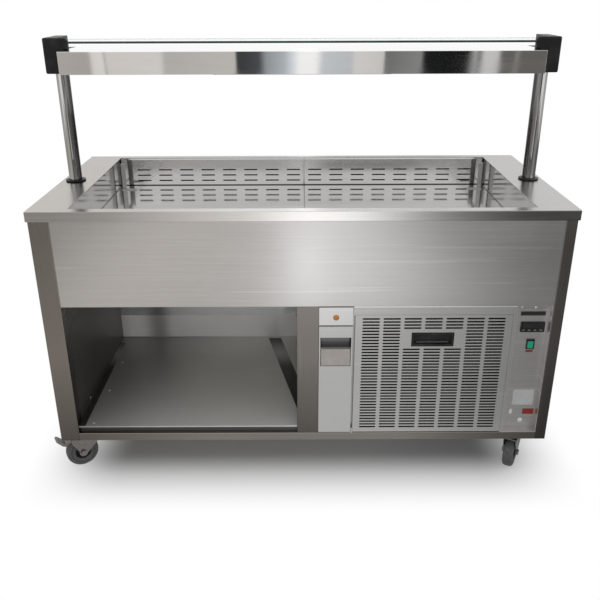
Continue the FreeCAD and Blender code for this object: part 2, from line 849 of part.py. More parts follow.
# Rear air panels: two slotted sheets with a top fold back to the tank wall
def make_air_panels():
    panels = []
    count = int(value("air_slot_count"))
    top = "counter_height - air_panel_top_drop"
    for side, sign in (("Left", -1), ("Right", 1)):
        x = ("split_right", "deck_side") if sign > 0 else ("-deck_side", "split_left")
        inner = value("split_right" if sign > 0 else "split_left")
        first = inner + sign * value("air_inner_margin + air_slot_length / 2")
        holes = []
        for column in range(count):
            slot_x = first + sign * column * value("air_slot_pitch")
            for row in range(int(value("air_row_count"))):
                slot_z = value("counter_height - air_top_row_drop") - row * value("air_row_pitch")
                holes.append(slot_wire(slot_x, slot_z, value("air_slot_length"), value("air_slot_height")))
        face = holed_sheet("AirSheet" + side, x, ("deck_under - air_panel_tuck", top),
                           "air_panel_front", holes)
        fold = box("AirFold" + side, x, ("air_panel_back", "well_back"), (f"{top} - steel_gauge", top))
        panels.append(join("AirPanel" + side, [face, fold]))
    node(group("AirPanels", panels), "rear_air_panels")


# Deck plates that lift out, each with its pan support, and the bearers under them
def make_deck():
    bar_y = ("bearer_front", "bearer_back")
    bar_z = ("bearer_bottom", "deck_under")
    bar_x = ("well_side - deck_bearer_width", "well_side")
    middle = [box("BearerMiddle", ("-deck_bearer_width", "deck_bearer_width"), bar_y, bar_z)]
    post_half = "bearer_post_side / 2"
    for end, centre in (("Front", "bearer_front + bearer_post_inset"),
                        ("Rear", "bearer_back - bearer_post_inset")):
        middle.append(box("BearerPost" + end, (f"-{post_half}", post_half),
                          (f"{centre} - {post_half}", f"{centre} + {post_half}"),
                          ("tank_floor", "bearer_bottom")))
    bars = [box("BearerLeft", mirrored_span(*bar_x), bar_y, bar_z),
            box("BearerRight", bar_x, bar_y, bar_z),
            join("BearerCentre", middle)]
    node(group("DeckBearers", bars), "deck_bearers")

    plate_y = ("deck_front", "deck_back")
    plate_z = ("deck_under - deck_fold", "deck_top")
    for side, sign in (("left", -1), ("right", 1)):
        tag = side.capitalize()
        spans = {"post": ("support_side - pan_support_width", "support_side"),
                 "foot": ("support_side - pan_support_width - pan_foot_length", "support_side")}
        if sign < 0:
            spans = {key: mirrored_span(*span) for key, span in spans.items()}
        plate_x = ("split_right", "deck_side") if sign > 0 else ("-deck_side", "split_left")
        plate = tray("DeckSheet" + tag, plate_x, plate_y, plate_z, ("-y", "+y", "+z"))
        upright = box("SupportPost" + tag, spans["post"],
                      ("support_back - pan_support_thickness", "support_back"),
                      ("deck_top", "deck_top + pan_support_height"))
        foot = box("SupportFoot" + tag, spans["foot"], ("support_back - pan_foot_breadth", "support_back"),
                   ("deck_top", "deck_top + pan_support_thickness"))
        bracket = join("PanSupport" + tag, [upright, foot])
        node(group("DeckPlate" + tag, [plate, bracket]), f"deck_plate_{side}")


# Evaporator coil, and the fan panel with its two motors and fans
def make_evaporator():
    coil_x = ("-coil_length / 2", "coil_length / 2")
    coil_y = ("coil_front", "coil_front + coil_depth")
    coil_z = ("tank_floor", "tank_floor + coil_height")
    pieces = [box("FinPack", shrink(coil_x, "coil_plate", "coil_plate"), coil_y, coil_z)]
    for side, edge in (("Left", "-coil_length / 2"), ("Right", "coil_length / 2 - coil_plate")):
        pieces.append(box("CoilPlate" + side, (edge, f"{edge} + coil_plate"), coil_y, coil_z))
    levels = int(value("coil_tube_levels"))
    for level in range(levels):
        for row in (-1, 1):
            start = ("-coil_length / 2 - coil_tube_reach",
                     f"coil_front + coil_depth / 2 + {row} * coil_tube_pitch / 2",
                     f"fan_height + {level - (levels - 1) / 2} * coil_tube_pitch")
            pieces.append(rod(f"CoilTube{level}{row + 1}", "x", start, "coil_tube_radius",
                              "coil_length + 2 * coil_tube_reach"))
    node(join("EvaporatorCoil", pieces), "evaporator_coil")

    ring = "evaporator_fan_radius + fan_tip_gap"
    panel = box("FanPlate", coil_x, ("fan_panel_place", "fan_panel_back"), coil_z)
    frames = []
    mouths = []
    for side, sign in (("left", "-"), ("right", "")):
        tag = side.capitalize()
        x = f"{sign}evaporator_fan_spacing / 2"
        mouths.append(rod("FanMouth" + tag, "y", (x, "fan_panel_place - overcut", "fan_height"), ring,
                          "steel_gauge + 2 * overcut"))
        strut_x = (f"{x} - strut_side / 2", f"{x} + strut_side / 2")
        reach = f"({ring} + strut_side)"
        bar_y = ("motor_front - strut_side / 2", "motor_front")
        pieces = [box("MotorBar" + tag, strut_x, bar_y, (f"fan_height - {reach}", f"fan_height + {reach}")),
                  rod("Motor" + tag, "y", (x, "motor_front", "fan_height"), "motor_radius", "motor_length")]
        for end, low in (("Low", f"fan_height - {reach}"), ("High", f"fan_height + {reach} - strut_side")):
            pieces.append(box(f"MotorStrut{tag}{end}", strut_x, ("fan_panel_back", "motor_front"),
                              (low, f"{low} + strut_side")))
        bore = rod("MotorBore" + tag, "y", (x, "motor_front - strut_side", "fan_height"),
                   "shaft_radius + running_gap", "strut_side + shaft_reach + running_gap")
        frames.append(cut("FanFrame" + tag, join("MotorCarrier" + tag, pieces), [bore]))
        fan_y = "fan_panel_place + steel_gauge / 2"
        shaft = "motor_front + shaft_reach - fan_panel_place - steel_gauge / 2 - evaporator_fan_depth / 2"
        node(fan("EvaporatorFan" + tag, (x, fan_y, "fan_height"), "evaporator_fan_radius",
                 "evaporator_fan_depth", "shaft_radius", shaft), f"evaporator_fan_{side}")
    frames.append(cut("FanPanel", panel, mouths))
    node(group("EvaporatorFanFrame", frames), "evaporator_fan_frame")


# Gantry: posts, collars, canopy, end caps, glass shelf and lamp
def make_gantry():
    posts = []
    collars = []
    for side, sign in (("Left", "-"), ("Right", "")):
        base = (f"{sign}post_side", "0", "counter_height")
        outer = rod("PostOuter" + side, "z", base, "post_radius", "post_rise")
        inner = rod("PostBore" + side, "z", base, "post_radius - tube_wall", "post_rise")
        posts.append(cut("Post" + side, outer, [inner]))
        ring = rod("CollarOuter" + side, "z", base, "collar_radius", "collar_height")
        hole = rod("CollarBore" + side, "z", base, "post_radius + fit_gap", "collar_height")
        collars.append(cut("Collar" + side, ring, [hole]))
    node(group("GantryPosts", posts), "gantry_posts")
    node(group("PostCollars", collars), "post_collars")

    inner_back = "canopy_back - steel_gauge"
    lip = "canopy_back - canopy_return"
    section = [
        ("-canopy_back", "canopy_low"),
        ("-canopy_back", "canopy_top"),
        ("canopy_back", "canopy_top"),
        ("canopy_back", "canopy_low"),
        (lip, "canopy_low"),
        (lip, "canopy_low + steel_gauge"),
        (inner_back, "canopy_low + steel_gauge"),
        (inner_back, "canopy_top - steel_gauge"),
        (f"-({inner_back})", "canopy_top - steel_gauge"),
        (f"-({inner_back})", "canopy_low + steel_gauge"),
        (f"-({lip})", "canopy_low + steel_gauge"),
        (f"-({lip})", "canopy_low"),
    ]
    folded = padded_outline("CanopyFold", "YZ_Plane", section, "-canopy_side", "2 * canopy_side")
    end_plate = ("canopy_side - steel_gauge", "canopy_side")
    plate_y = (f"-({inner_back})", inner_back)
    plate_z = ("canopy_low", "canopy_top - steel_gauge")
    plates = [box("CanopyEndLeft", mirrored_span(*end_plate), plate_y, plate_z),
              box("CanopyEndRight", end_plate, plate_y, plate_z)]
    node(join("LightCanopy", [folded] + plates), "light_canopy")

    caps = []
    for side, sign in (("Left", "-"), ("Right", "")):
        caps.append(make_end_cap(side, sign))
    node(group("GantryEndCaps", caps), "gantry_end_caps")

    node(box("GlassShelf", ("-glass_side", "glass_side"), ("-glass_back", "glass_back"),
             ("glass_under", "glass_top")), "glass_shelf")
    make_lamp()


def make_end_cap(side, sign):
    """A moulded cap: a socket for its post, a slot for the glass and a hook over its front corner."""
    shoulder = "canopy_top + fit_gap"
    front_view = [
        (f"{sign}canopy_side", "cap_low"),
        (f"{sign}cap_side", "cap_low"),
        (f"{sign}cap_side", "cap_top"),
        (f"{sign}(cap_inner)", "cap_top"),
        (f"{sign}(cap_inner)", shoulder),
        (f"{sign}canopy_side", shoulder),
    ]
    hook_view = [
        (f"{sign}(cap_inner)", shoulder),
        (f"{sign}(cap_inner)", "cap_top"),
        (f"{sign}(hook_inner + cap_hook_slope)", "cap_top"),
        (f"{sign}(hook_inner)", "cap_top - cap_hook_slope"),
        (f"{sign}(hook_inner)", shoulder),
    ]
    body = padded_outline("Cap" + side, "XZ_Plane", front_view, "0", "cap_depth", both_ways=True)
    hook = new_sketch(body, f"Hook{side}Outline", "XZ_Plane", "cap_back")
    draw_outline(hook, hook_view)
    feature(body, "Pad", f"Hook{side}Pad", hook, "cap_hook_depth", backwards=True)
    outer = value("cap_side - overcut")
    depth = value("cap_back - overcut")

    def outside(edge):
        box_of = edge.BoundBox
        at_side = min(abs(box_of.XMin), abs(box_of.XMax)) > outer
        at_end = min(abs(box_of.YMin), abs(box_of.YMax)) > depth and box_of.YMin * box_of.YMax > 0
        return at_side or at_end

    round_edges(body, f"Cap{side}Round", "cap_radius", outside)
    seat = ("hook_inner - overcut", "glass_side + fit_gap")
    if sign:
        seat = mirrored_span(*seat)
    slot = box("GlassSeat" + side, seat, ("-glass_back - fit_gap", "glass_back + fit_gap"),
               ("glass_under", "glass_top + fit_gap"))
    socket = rod("PostSocket" + side, "z", (f"{sign}post_side", "0", "cap_low - overcut"),
                 "post_radius + fit_gap", "counter_height + post_rise - cap_low + overcut")
    return cut("EndCap" + side, body, [slot, socket])


def make_lamp():
    channel = tray("LampChannel", ("-lamp_side", "lamp_side"), ("-lamp_back", "lamp_back"),
                   ("lamp_low", "lamp_top"), ("-x", "+x", "-y", "+y", "+z"))
    holder_y = ("-lamp_holder_depth / 2", "lamp_holder_depth / 2")
    holder_z = ("lamp_low + lamp_tube_rise - lamp_holder_depth / 2", "lamp_top - steel_gauge")
    holder_x = ("tube_end", "lamp_side - steel_gauge")
    holders = [box("LampHolderLeft", mirrored_span(*holder_x), holder_y, holder_z),
               box("LampHolderRight", holder_x, holder_y, holder_z)]
    node(group("GantryLamp", [channel] + holders), "gantry_lamp")
    node(rod("LampTube", "x", ("-tube_end", "0", "lamp_low + lamp_tube_rise"), "lamp_tube_radius",
             "2 * (tube_end)"), "lamp_tube")


# Narrow bay: indicator plate with its amber lens, and the condensate drawer
def make_narrow_bay():
    plate = tray("IndicatorSheet", ("face_left", "face_right"),
                 ("indicator_front", "indicator_front + drawer_side_fold"),
                 ("indicator_bottom", "indicator_top"), ("-x", "+x", "-y", "-z", "+z"))
    hole = rod("LensHole", "y", ("lens_place", "indicator_front - overcut", "lens_height"),
               "lens_stem_radius + fit_gap", "steel_gauge + 2 * overcut")
    node(cut("IndicatorPanel", plate, [hole]), "indicator_panel")

    dome = doc.addObject("Part::Ellipsoid", "LensDome")
    bind(dome, "Radius1", "lens_proud")
    bind(dome, "Radius2", "lens_radius")
    bind(dome, "Radius3", "lens_radius")
    dome.Angle1 = 0
    dome.Placement.Rotation = Rotation(Vector(1, 0, 0), 90)
    place(dome, "lens_place", "indicator_front", "lens_height")
    stem = rod("LensStem", "y", ("lens_place", "indicator_front", "lens_height"), "lens_stem_radius",
               "lens_stem_length")
    node(join("AmberLens", [dome, stem]), "amber_lens")

    face_x = ("face_left", "face_right")
    sheet_front = tray("DrawerSheet", face_x, ("frame_front", "frame_front + drawer_side_fold"),
                       ("drawer_bottom", "drawer_top"), ("-x", "+x", "-y", "-z", "+z"))
    pull_x = ("pull_left", "pull_right")
    shell_x = shrink(pull_x, "-steel_gauge", "-steel_gauge")
    shell = box("PullShell", shell_x, ("face_back", "pull_back + steel_gauge"),
                ("pull_bottom - steel_gauge", "hook_top + steel_gauge"))
    hollow = box("PullHollow", pull_x, ("face_back", "pull_back"), ("pull_bottom", "hook_top"))
    mouth = box("PullMouth", pull_x, ("frame_front - overcut", "face_back"), ("pull_bottom", "pull_top"))
    node(cut("DrawerFront", join("DrawerFace", [sheet_front, shell]), [hollow, mouth]), "drawer_front")

    bin_x = ("container_left", "container_right")
    bin_y = ("face_back", "container_back")
    block = box("ContainerBlock", bin_x, bin_y, ("container_bottom", "container_top"))
    inside = box("ContainerInside", shrink(bin_x, "container_wall", "container_wall"),
                 shrink(bin_y, "container_wall", "container_wall"),
                 ("container_bottom + container_wall", "container_top + overcut"))
    node(cut("DrawerContainer", block, [inside]), "drawer_container")

    runner_y = ("runner_front", "runner_front + runner_length")
    runner_z = ("base_top", "base_top + runner_height")
    left = ("face_left + runner_side", "face_left + runner_side + runner_width")
    right = ("face_right - runner_side - runner_width", "face_right - runner_side")
    node(group("DrawerRunners", [box("RunnerLeft", left, runner_y, runner_z),
                                 box("RunnerRight", right, runner_y, runner_z)]), "drawer_runners")


# Grille: a three-sided surround with its left side set back above the hinge lug, and a slotted door
# that tilts out on pins at its foot
def make_grille():
    surround = box("SurroundBlock", ("grille_left", "grille_right"),
                   ("frame_front", "frame_front + fold_depth"), ("rail_top", "grille_top"))
    opening = box("SurroundOpening", ("grille_opening_left", "grille_opening_right"),
                  ("frame_front - overcut", "frame_front + fold_depth + overcut"),
                  ("rail_top - overcut", "grille_opening_top"))
    back = box("HeaderHollow", ("grille_left + steel_gauge", "grille_right - steel_gauge"),
               ("face_back", "frame_front + fold_depth + overcut"),
               ("grille_opening_top + steel_gauge", "grille_top - steel_gauge"))
    shadow_gap = box("StileSetback", ("grille_left - overcut", "grille_opening_left + overcut"),
                     ("frame_front - overcut", "frame_front + stile_setback"),
                     ("hinge_height + hinge_lug_rise", "grille_opening_top"))
    hole_radius = "hinge_pin_radius + running_gap"
    reach = "hinge_pin_reach + door_gap"
    left_hole = rod("HingeHoleLeft", "x", (f"grille_opening_left - ({reach})", "hinge_place", "hinge_height"),
                    hole_radius, f"{reach} + overcut")
    right_hole = rod("HingeHoleRight", "x", ("grille_opening_right - overcut", "hinge_place", "hinge_height"),
                     hole_radius, f"{reach} + overcut")
    node(cut("GrilleFrame", surround, [opening, back, shadow_gap, left_hole, right_hole]), "grille_frame")

    door_x = ("door_left", "door_right")
    door_z = ("door_bottom", "door_top")
    handle_x = ("handle_place - handle_width / 2 + handle_rim",
                "handle_place + handle_width / 2 - handle_rim")
    handle_z = ("handle_bottom + handle_rim", "handle_top - handle_rim")
    slotted = holed_sheet("GrilleSheet", door_x, door_z, "frame_front",
                          grille_slots() + [square_hole(handle_x, handle_z)])
    rim = tray("GrilleRim", door_x, ("face_back", "door_back"), door_z, ("-x", "+x", "-z", "+z"))
    pins = []
    for side, start in (("Left", "door_left - hinge_pin_reach"), ("Right", "door_right - steel_gauge")):
        pins.append(rod("HingePin" + side, "x", (start, "hinge_place", "hinge_height"), "hinge_pin_radius",
                        "hinge_pin_reach + steel_gauge"))
    node(join("GrilleDoor", [slotted, rim] + pins), "grille_door")
    make_handle(handle_x, handle_z)


def grille_slots():
    """The slots of the grille door, left out where the pull handle sits."""
    columns = int(value("grille_slot_count"))
    top = value("door_top - grille_top_margin")
    handle_side = value("handle_width / 2 + handle_rim")
    slots = []
    for column in range(columns):
        x = value("handle_place") + (column - (columns - 1) / 2) * value("grille_slot_pitch")
        beside = abs(x - value("handle_place")) - value("grille_slot_length") / 2 < handle_side
        for row in range(int(value("grille_row_count"))):
            z = top - row * value("grille_row_pitch")
            level = value("handle_bottom - grille_slot_height") < z < value("handle_top + grille_slot_height")
            if not (beside and level):
                slots.append(slot_wire(x, z, value("grille_slot_length"), value("grille_slot_height")))
    return slots


def make_handle(mouth_x, mouth_z):
    """A recessed pull: a rim on the door's face and a cup behind it."""
    rim = box("HandleRim", ("handle_place - handle_width / 2", "handle_place + handle_width / 2"),
              ("frame_front - handle_flange", "frame_front"), ("handle_bottom", "handle_top"))
    cup_x = shrink(mouth_x, "fit_gap", "fit_gap")
    cup_z = shrink(mouth_z, "fit_gap", "fit_gap")
    cup = box("HandleCup", cup_x, ("frame_front", "frame_front + handle_depth"), cup_z)
    pocket = box("HandlePocket", shrink(cup_x, "handle_wall", "handle_wall"),
                 ("frame_front - handle_flange - overcut", "frame_front + handle_depth - handle_wall"),
                 shrink(cup_z, "handle_wall", "handle_wall"))
    node(cut("DoorHandleCup", join("HandleBody", [rim, cup]), [pocket]), "door_handle_cup")


# Control panel: a recessed tray with the temperature controller and the rocker switch
def make_controls():
    recess = tray("ControlTray", ("control_left", "control_right"), ("frame_front + bay_gap", "control_back"),
                  ("rail_top", "grille_top"), ("-x", "+x", "+y", "-z", "+z"))
    body_x = ("controller_place + controller_body_side",
              "controller_place + controller_width - controller_body_side")
    body_z = ("controller_bottom + controller_body_side", "controller_top - controller_body_side")
    through = ("control_face - overcut", "control_back + overcut")
    controller_hole = box("ControllerHole", shrink(body_x, "-fit_gap", "-fit_gap"), through,
                          shrink(body_z, "-fit_gap", "-fit_gap"))
    case_x = ("switch_place + switch_wall", "switch_place + switch_width - switch_wall")
    case_z = ("switch_bottom + switch_wall", "switch_top - switch_wall")
    switch_hole = box("SwitchHole", shrink(case_x, "-fit_gap", "-fit_gap"), through,
                      shrink(case_z, "-fit_gap", "-fit_gap"))
    node(cut("ControlPanel", recess, [controller_hole, switch_hole]), "control_panel")

    bezel = box("ControllerBezel", ("controller_place", "controller_place + controller_width"),
                ("controller_front", "control_face"), ("controller_bottom", "controller_top"))
    case = box("ControllerCase", body_x, ("control_face", "control_face + controller_body_length"), body_z)
    wells = []
    for index in range(int(value("button_count"))):
        x = f"controller_place + button_first + {index} * button_pitch"
        button_x = (f"{x} - button_width / 2", f"{x} + button_width / 2")
        button_z = ("controller_bottom + button_rise - button_height / 2",
                    "controller_bottom + button_rise + button_height / 2")
        front = "controller_front - button_proud"
        node(box(f"Button{index + 1}", button_x, (front, f"{front} + button_length"), button_z),
             f"controller_button_{index + 1}")
        wells.append(box(f"ButtonWell{index + 1}", shrink(button_x, "-button_gap", "-button_gap"),
                         ("controller_front - overcut", "controller_front + button_well"),
                         shrink(button_z, "-button_gap", "-button_gap")))
    node(cut("TemperatureController", join("ControllerBody", [bezel, case]), wells), "temperature_controller")
    make_switch(case_x, case_z)


def make_switch(case_x, case_z):
    frame_x = ("switch_place", "switch_place + switch_width")
    frame_z = ("switch_bottom", "switch_top")
    bezel = box("SwitchRim", frame_x, ("switch_front", "control_face"), frame_z)
    case = box("SwitchCase", case_x, ("control_face", "control_face + switch_body_length"), case_z)
    well_x = shrink(frame_x, "switch_rim", "switch_rim")
    well = box("SwitchWell", well_x, ("switch_front - overcut", "rocker_pivot + rocker_depth + rocker_gap"),
               shrink(frame_z, "switch_rim", "switch_rim"))
    pin_reach = "rocker_gap + rocker_pin_reach"
    pivot_hole = rod("RockerHole", "x",
                     (f"{well_x[0]} - rocker_pin_reach - running_gap", "rocker_pivot", "rocker_height"),
                     "rocker_pin_radius + running_gap",
                     "switch_width - 2 * switch_rim + 2 * rocker_pin_reach + 2 * running_gap")
    node(cut("SwitchBezel", join("SwitchBody", [bezel, case]), [well, pivot_hole]), "switch_bezel")

    width = "switch_width - 2 * switch_rim - 2 * rocker_gap"
    crest = "-rocker_depth / 2 - rocker_proud"
    side_view = [
        ("rocker_depth / 2", "-rocker_heel / 2"),
        (crest, "-rocker_half"),
        ("-rocker_depth / 2", "0"),
        (crest, "rocker_half"),
        ("rocker_depth / 2", "rocker_heel / 2"),
    ]
    paddle = padded_outline("RockerPaddle", "YZ_Plane", side_view, "0", width, both_ways=True)
    pin = rod("RockerPin", "x", (f"-({width}) / 2 - ({pin_reach})", "0", "0"), "rocker_pin_radius",
              f"{width} + 2 * ({pin_reach})")
    rocker = join("SwitchRocker", [paddle, pin])
    rocker.Placement.Rotation = Rotation(Vector(1, 0, 0), value("rocker_tilt"))
    bind(rocker, "Placement.Rotation.Angle", "rocker_tilt")
    node(place(rocker, "rocker_place", "rocker_pivot", "rocker_height"), "switch_rocker")


# Refrigeration unit on its own base
def make_unit():
    node(box("MachineBase", ("middle_leg_place + steel_gauge", "frame_side - base_side_gap"),
             ("leg_back", "rear_leg_front"), ("rail_top", "base_top")), "machine_base")
    make_compressor()
    make_condenser()
    suction_x = "compressor_place + suction_offset"
    discharge_x = "compressor_place + discharge_offset"
    over = "compressor_top + discharge_rise"
    into = "condenser_front + discharge_inset"
    suction = rod("SuctionPipe", "z", (suction_x, "compressor_back", "compressor_top"), "pipe_radius",
                  "casing_bottom - compressor_top")
    discharge = bent_pipe("DischargePipe", [(discharge_x, "compressor_back", "compressor_top"),
                                            (discharge_x, "compressor_back", over),
                                            (discharge_x, into, over),
                                            ("condenser_right", into, over)], "pipe_radius", "pipe_bend")
    node(group("RefrigerantPipes", [suction, discharge]), "refrigerant_pipes")


def make_compressor():
    shell = [
        ("0", "compressor_low"),
        ("compressor_radius - compressor_crown / 2", "compressor_low"),
        ("compressor_radius", "compressor_low + compressor_crown / 2"),
        ("compressor_radius", "compressor_top - compressor_crown"),
        ("compressor_radius - compressor_crown / 2", "compressor_top - compressor_crown / 3"),
        ("compressor_radius - compressor_crown", "compressor_top"),
        ("0", "compressor_top"),
    ]
    pot = spun_outline("CompressorShell", "XZ_Plane", shell, axis="V_Axis")
    place(pot, "compressor_place", "compressor_back", "0")
    half_x = "compressor_plate_length / 2"
    half_y = "compressor_plate_width / 2"
    plate = box("CompressorPlate", (f"compressor_place - {half_x}", f"compressor_place + {half_x}"),
                (f"compressor_back - {half_y}", f"compressor_back + {half_y}"),
                ("compressor_low - compressor_plate", "compressor_low"))
    pieces = [pot, plate]
    for x_sign in "-+":
        for y_sign in "-+":
            start = (f"compressor_place {x_sign} ({half_x} - compressor_foot_radius)",
                     f"compressor_back {y_sign} ({half_y} - compressor_foot_radius)", "base_top")
            name = "CompressorFoot" + ("Left" if x_sign == "-" else "Right") + ("A" if y_sign == "-" else "B")
            pieces.append(rod(name, "z", start, "compressor_foot_radius", "compressor_foot_rise"))
    node(group("Compressor", pieces), "compressor")


def make_condenser():
    fin_x = ("condenser_left", "condenser_right")
    fin_y = ("condenser_front", "condenser_back")
    fins = box("CondenserFins", fin_x, fin_y, ("condenser_bottom", "condenser_top"))
    feet = [box("CondenserFootLeft", ("condenser_left", "condenser_left + coil_plate"), fin_y,
                ("base_top", "condenser_bottom")),
            box("CondenserFootRight", ("condenser_right - coil_plate", "condenser_right"), fin_y,
                ("base_top", "condenser_bottom"))]
    node(join("CondenserCoil", [fins] + feet), "condenser_coil")

    shroud = tray("ShroudSheet", fin_x, ("condenser_back", "shroud_back"),
                  ("condenser_bottom", "condenser_top"), ("-x", "+x", "+y", "-z", "+z"))
    centre = ("condenser_middle", "condenser_fan_height")
    mouth = rod("ShroudMouth", "y", (centre[0], "shroud_back - steel_gauge - overcut", centre[1]),
                "condenser_fan_radius + fan_tip_gap", "steel_gauge + 2 * overcut")
    strut_z = (f"{centre[1]} - condenser_strut / 2", f"{centre[1]} + condenser_strut / 2")
    bar = box("ShroudBar", fin_x, ("condenser_motor_front - condenser_strut / 2", "condenser_motor_front"),
              strut_z)
    legs = [box("ShroudLegLeft", ("condenser_left", "condenser_left + condenser_strut"),
                ("shroud_back", "condenser_motor_front"), strut_z),
            box("ShroudLegRight", ("condenser_right - condenser_strut", "condenser_right"),
                ("shroud_back", "condenser_motor_front"), strut_z)]
    motor = rod("CondenserMotor", "y", (centre[0], "condenser_motor_front", centre[1]),
                "condenser_motor_radius", "condenser_motor_length")
    bore = rod("CondenserBore", "y",
               (centre[0], "condenser_motor_front - condenser_strut", centre[1]),
               "condenser_shaft_radius + running_gap", "condenser_strut + shaft_reach + running_gap")
    node(cut("CondenserShroud", join("ShroudBody", [shroud, bar, motor] + legs), [mouth, bore]),
         "condenser_shroud")

    fan_y = "condenser_back + shroud_depth / 2"
    hub_back = "(condenser_back + shroud_depth / 2 + condenser_fan_depth / 2)"
    shaft = f"condenser_motor_front + shaft_reach - {hub_back}"
    node(fan("CondenserFan", (centre[0], fan_y, centre[1]), "condenser_fan_radius", "condenser_fan_depth",
             "condenser_shaft_radius", shaft), "condenser_fan")


# Castors, modelled about their own pivot with the wheel trailing towards -X, then turned
CASTORS = (
    ("front_left", "-pivot_side", "-pivot_back"),
    ("front_right", "pivot_side", "-pivot_back"),
    ("rear_right", "pivot_side", "pivot_back"),
    ("rear_left", "-pivot_side", "pivot_back"),
)
BRAKED = ("front_left", "rear_right")


def stand_castor(thing, corner, x, y):
    thing.Placement.Rotation = Rotation(Vector(0, 0, 1), SIZES["castor_turn_" + corner])
    bind(thing, "Placement.Rotation.Angle", "castor_turn_" + corner)
    return place(thing, x, y, "0")


def make_castors():
    plates = []
    for corner, x, y in CASTORS:
        tag = corner.title().replace("_", "")
        plates.append(make_castor_plate(tag, x, y))
        fork = stand_castor(make_fork(tag), corner, x, y)
        node(fork, "castor_fork_" + corner)
        wheel = stand_castor(make_wheel(tag), corner, x, y)
        node(wheel, "castor_wheel_" + corner)
        if corner in BRAKED:
            pedal = stand_castor(make_pedal(tag), corner, x, y)
            node(pedal, "brake_pedal_" + corner)
    node(group("CastorPlates", plates), "castor_plates")


def make_castor_plate(tag, x, y):
    """A top plate with the king pin that the fork turns on."""
    plate = box("CastorPlate" + tag, (f"{x} - castor_plate_length / 2", f"{x} + castor_plate_length / 2"),
                (f"{y} - castor_plate_width / 2", f"{y} + castor_plate_width / 2"),
                ("castor_plate_under", "castor_height"))
    head_top = "crown_under - slide_gap"
    pin = rod("KingPin" + tag, "z", (x, y, head_top), "king_pin_radius", f"castor_plate_under - ({head_top})")
    head = rod("KingPinHead" + tag, "z", (x, y, f"{head_top} - king_pin_head_height"), "king_pin_head",
               "king_pin_head_height")
    return join("CastorTop" + tag, [plate, pin, head])


def make_fork(tag):
    """A pressed fork with its bearing race, and the axle bolt across it."""
    axle_x = "-wheel_trail"
    side_view = [
        ("crown_front", "crown_top"),
        ("-crown_back", "crown_top"),
        ("-crown_back", "crown_top - ear_height"),
        (f"{axle_x} - axle_eye", "wheel_radius + axle_eye / 2"),
        (f"{axle_x} - axle_eye", "wheel_radius - axle_eye / 3"),
        (f"{axle_x} - axle_eye / 2", "wheel_radius - axle_eye"),
        (f"{axle_x} + axle_eye / 2", "wheel_radius - axle_eye"),
        (f"{axle_x} + axle_eye", "wheel_radius - axle_eye / 3"),
        ("crown_front", "crown_top - ear_height"),
    ]
    body = padded_outline("Fork" + tag, "XZ_Plane", side_view, "0", "2 * fork_outer", both_ways=True)
    gap = new_sketch(body, f"ForkGap{tag}", "YZ_Plane")
    draw_outline(gap, [("-fork_inner", "0"), ("fork_inner", "0"), ("fork_inner", "crown_under"),
                       ("-fork_inner", "crown_under")])
    feature(body, "Pocket", f"ForkSlot{tag}", gap, "2 * (crown_back + overcut)", both_ways=True)
    race = new_sketch(body, f"RaceRing{tag}", "XY_Plane", "crown_top")
    draw_circle(race, "0", "0", "race_radius")
    feature(body, "Pad", f"Race{tag}", race, "castor_plate_under - slide_gap - crown_top")
    bore = new_sketch(body, f"KingPinRing{tag}", "XY_Plane", "castor_height")
    draw_circle(bore, "0", "0", "king_pin_radius + running_gap")
    feature(body, "Pocket", f"KingPinBore{tag}", bore, "castor_height - crown_under + overcut")
    hole = new_sketch(body, f"AxleRing{tag}", "XZ_Plane")
    draw_circle(hole, axle_x, "wheel_radius", "axle_radius + fit_gap")
    feature(body, "Pocket", f"AxleHole{tag}", hole, "2 * (fork_outer + overcut)", both_ways=True)
    if tag in [corner.title().replace("_", "") for corner in BRAKED]:
        pin_hole = new_sketch(body, f"PedalRing{tag}", "XZ_Plane")
        draw_circle(pin_hole, "-pedal_pivot_back", "pedal_pivot_rise", "pedal_pin_radius + running_gap")
        feature(body, "Pocket", f"PedalHole{tag}", pin_hole, "2 * (fork_outer + overcut)", both_ways=True)
    shank = rod("AxleShank" + tag, "y", (axle_x, "-fork_outer - axle_head", "wheel_radius"), "axle_radius",
                "2 * fork_outer + 2 * axle_head")
    heads = [rod(f"AxleHead{tag}{end}", "y", (axle_x, y, "wheel_radius"), "axle_head_radius", "axle_head")
             for end, y in (("A", "-fork_outer - axle_head"), ("B", "fork_outer"))]
    return group("CastorFork" + tag, [body, join("Axle" + tag, [shank] + heads)])


def make_wheel(tag):
    """A grey tyre on a black hub, spun about the axle."""
    half = "wheel_width / 2"
    tyre = spun_outline("Tyre" + tag, "YZ_Plane", [
        (f"-{half}", "rim_radius"),
        (f"-{half}", "wheel_radius - tyre_round"),
        (f"-{half} + tyre_round", "wheel_radius"),
        (f"{half} - tyre_round", "wheel_radius"),
        (half, "wheel_radius - tyre_round"),
        (half, "rim_radius"),
    ], "-wheel_trail", "wheel_radius")
    hub = spun_outline("Hub" + tag, "YZ_Plane", [
        ("-hub_boss_width / 2", "axle_radius + running_gap"),
        ("-hub_boss_width / 2", "hub_boss_radius"),
        ("-hub_web_width / 2", "hub_boss_radius"),
        ("-hub_web_width / 2", "rim_radius - hub_rim"),
        ("-hub_rim_width / 2", "rim_radius - hub_rim"),
        ("-hub_rim_width / 2", "rim_radius"),
        ("hub_rim_width / 2", "rim_radius"),
        ("hub_rim_width / 2", "rim_radius - hub_rim"),
        ("hub_web_width / 2", "rim_radius - hub_rim"),
        ("hub_web_width / 2", "hub_boss_radius"),
        ("hub_boss_width / 2", "hub_boss_radius"),
        ("hub_boss_width / 2", "axle_radius + running_gap"),
    ], "-wheel_trail", "wheel_radius")
    return group("CastorWheel" + tag, [tyre, hub])


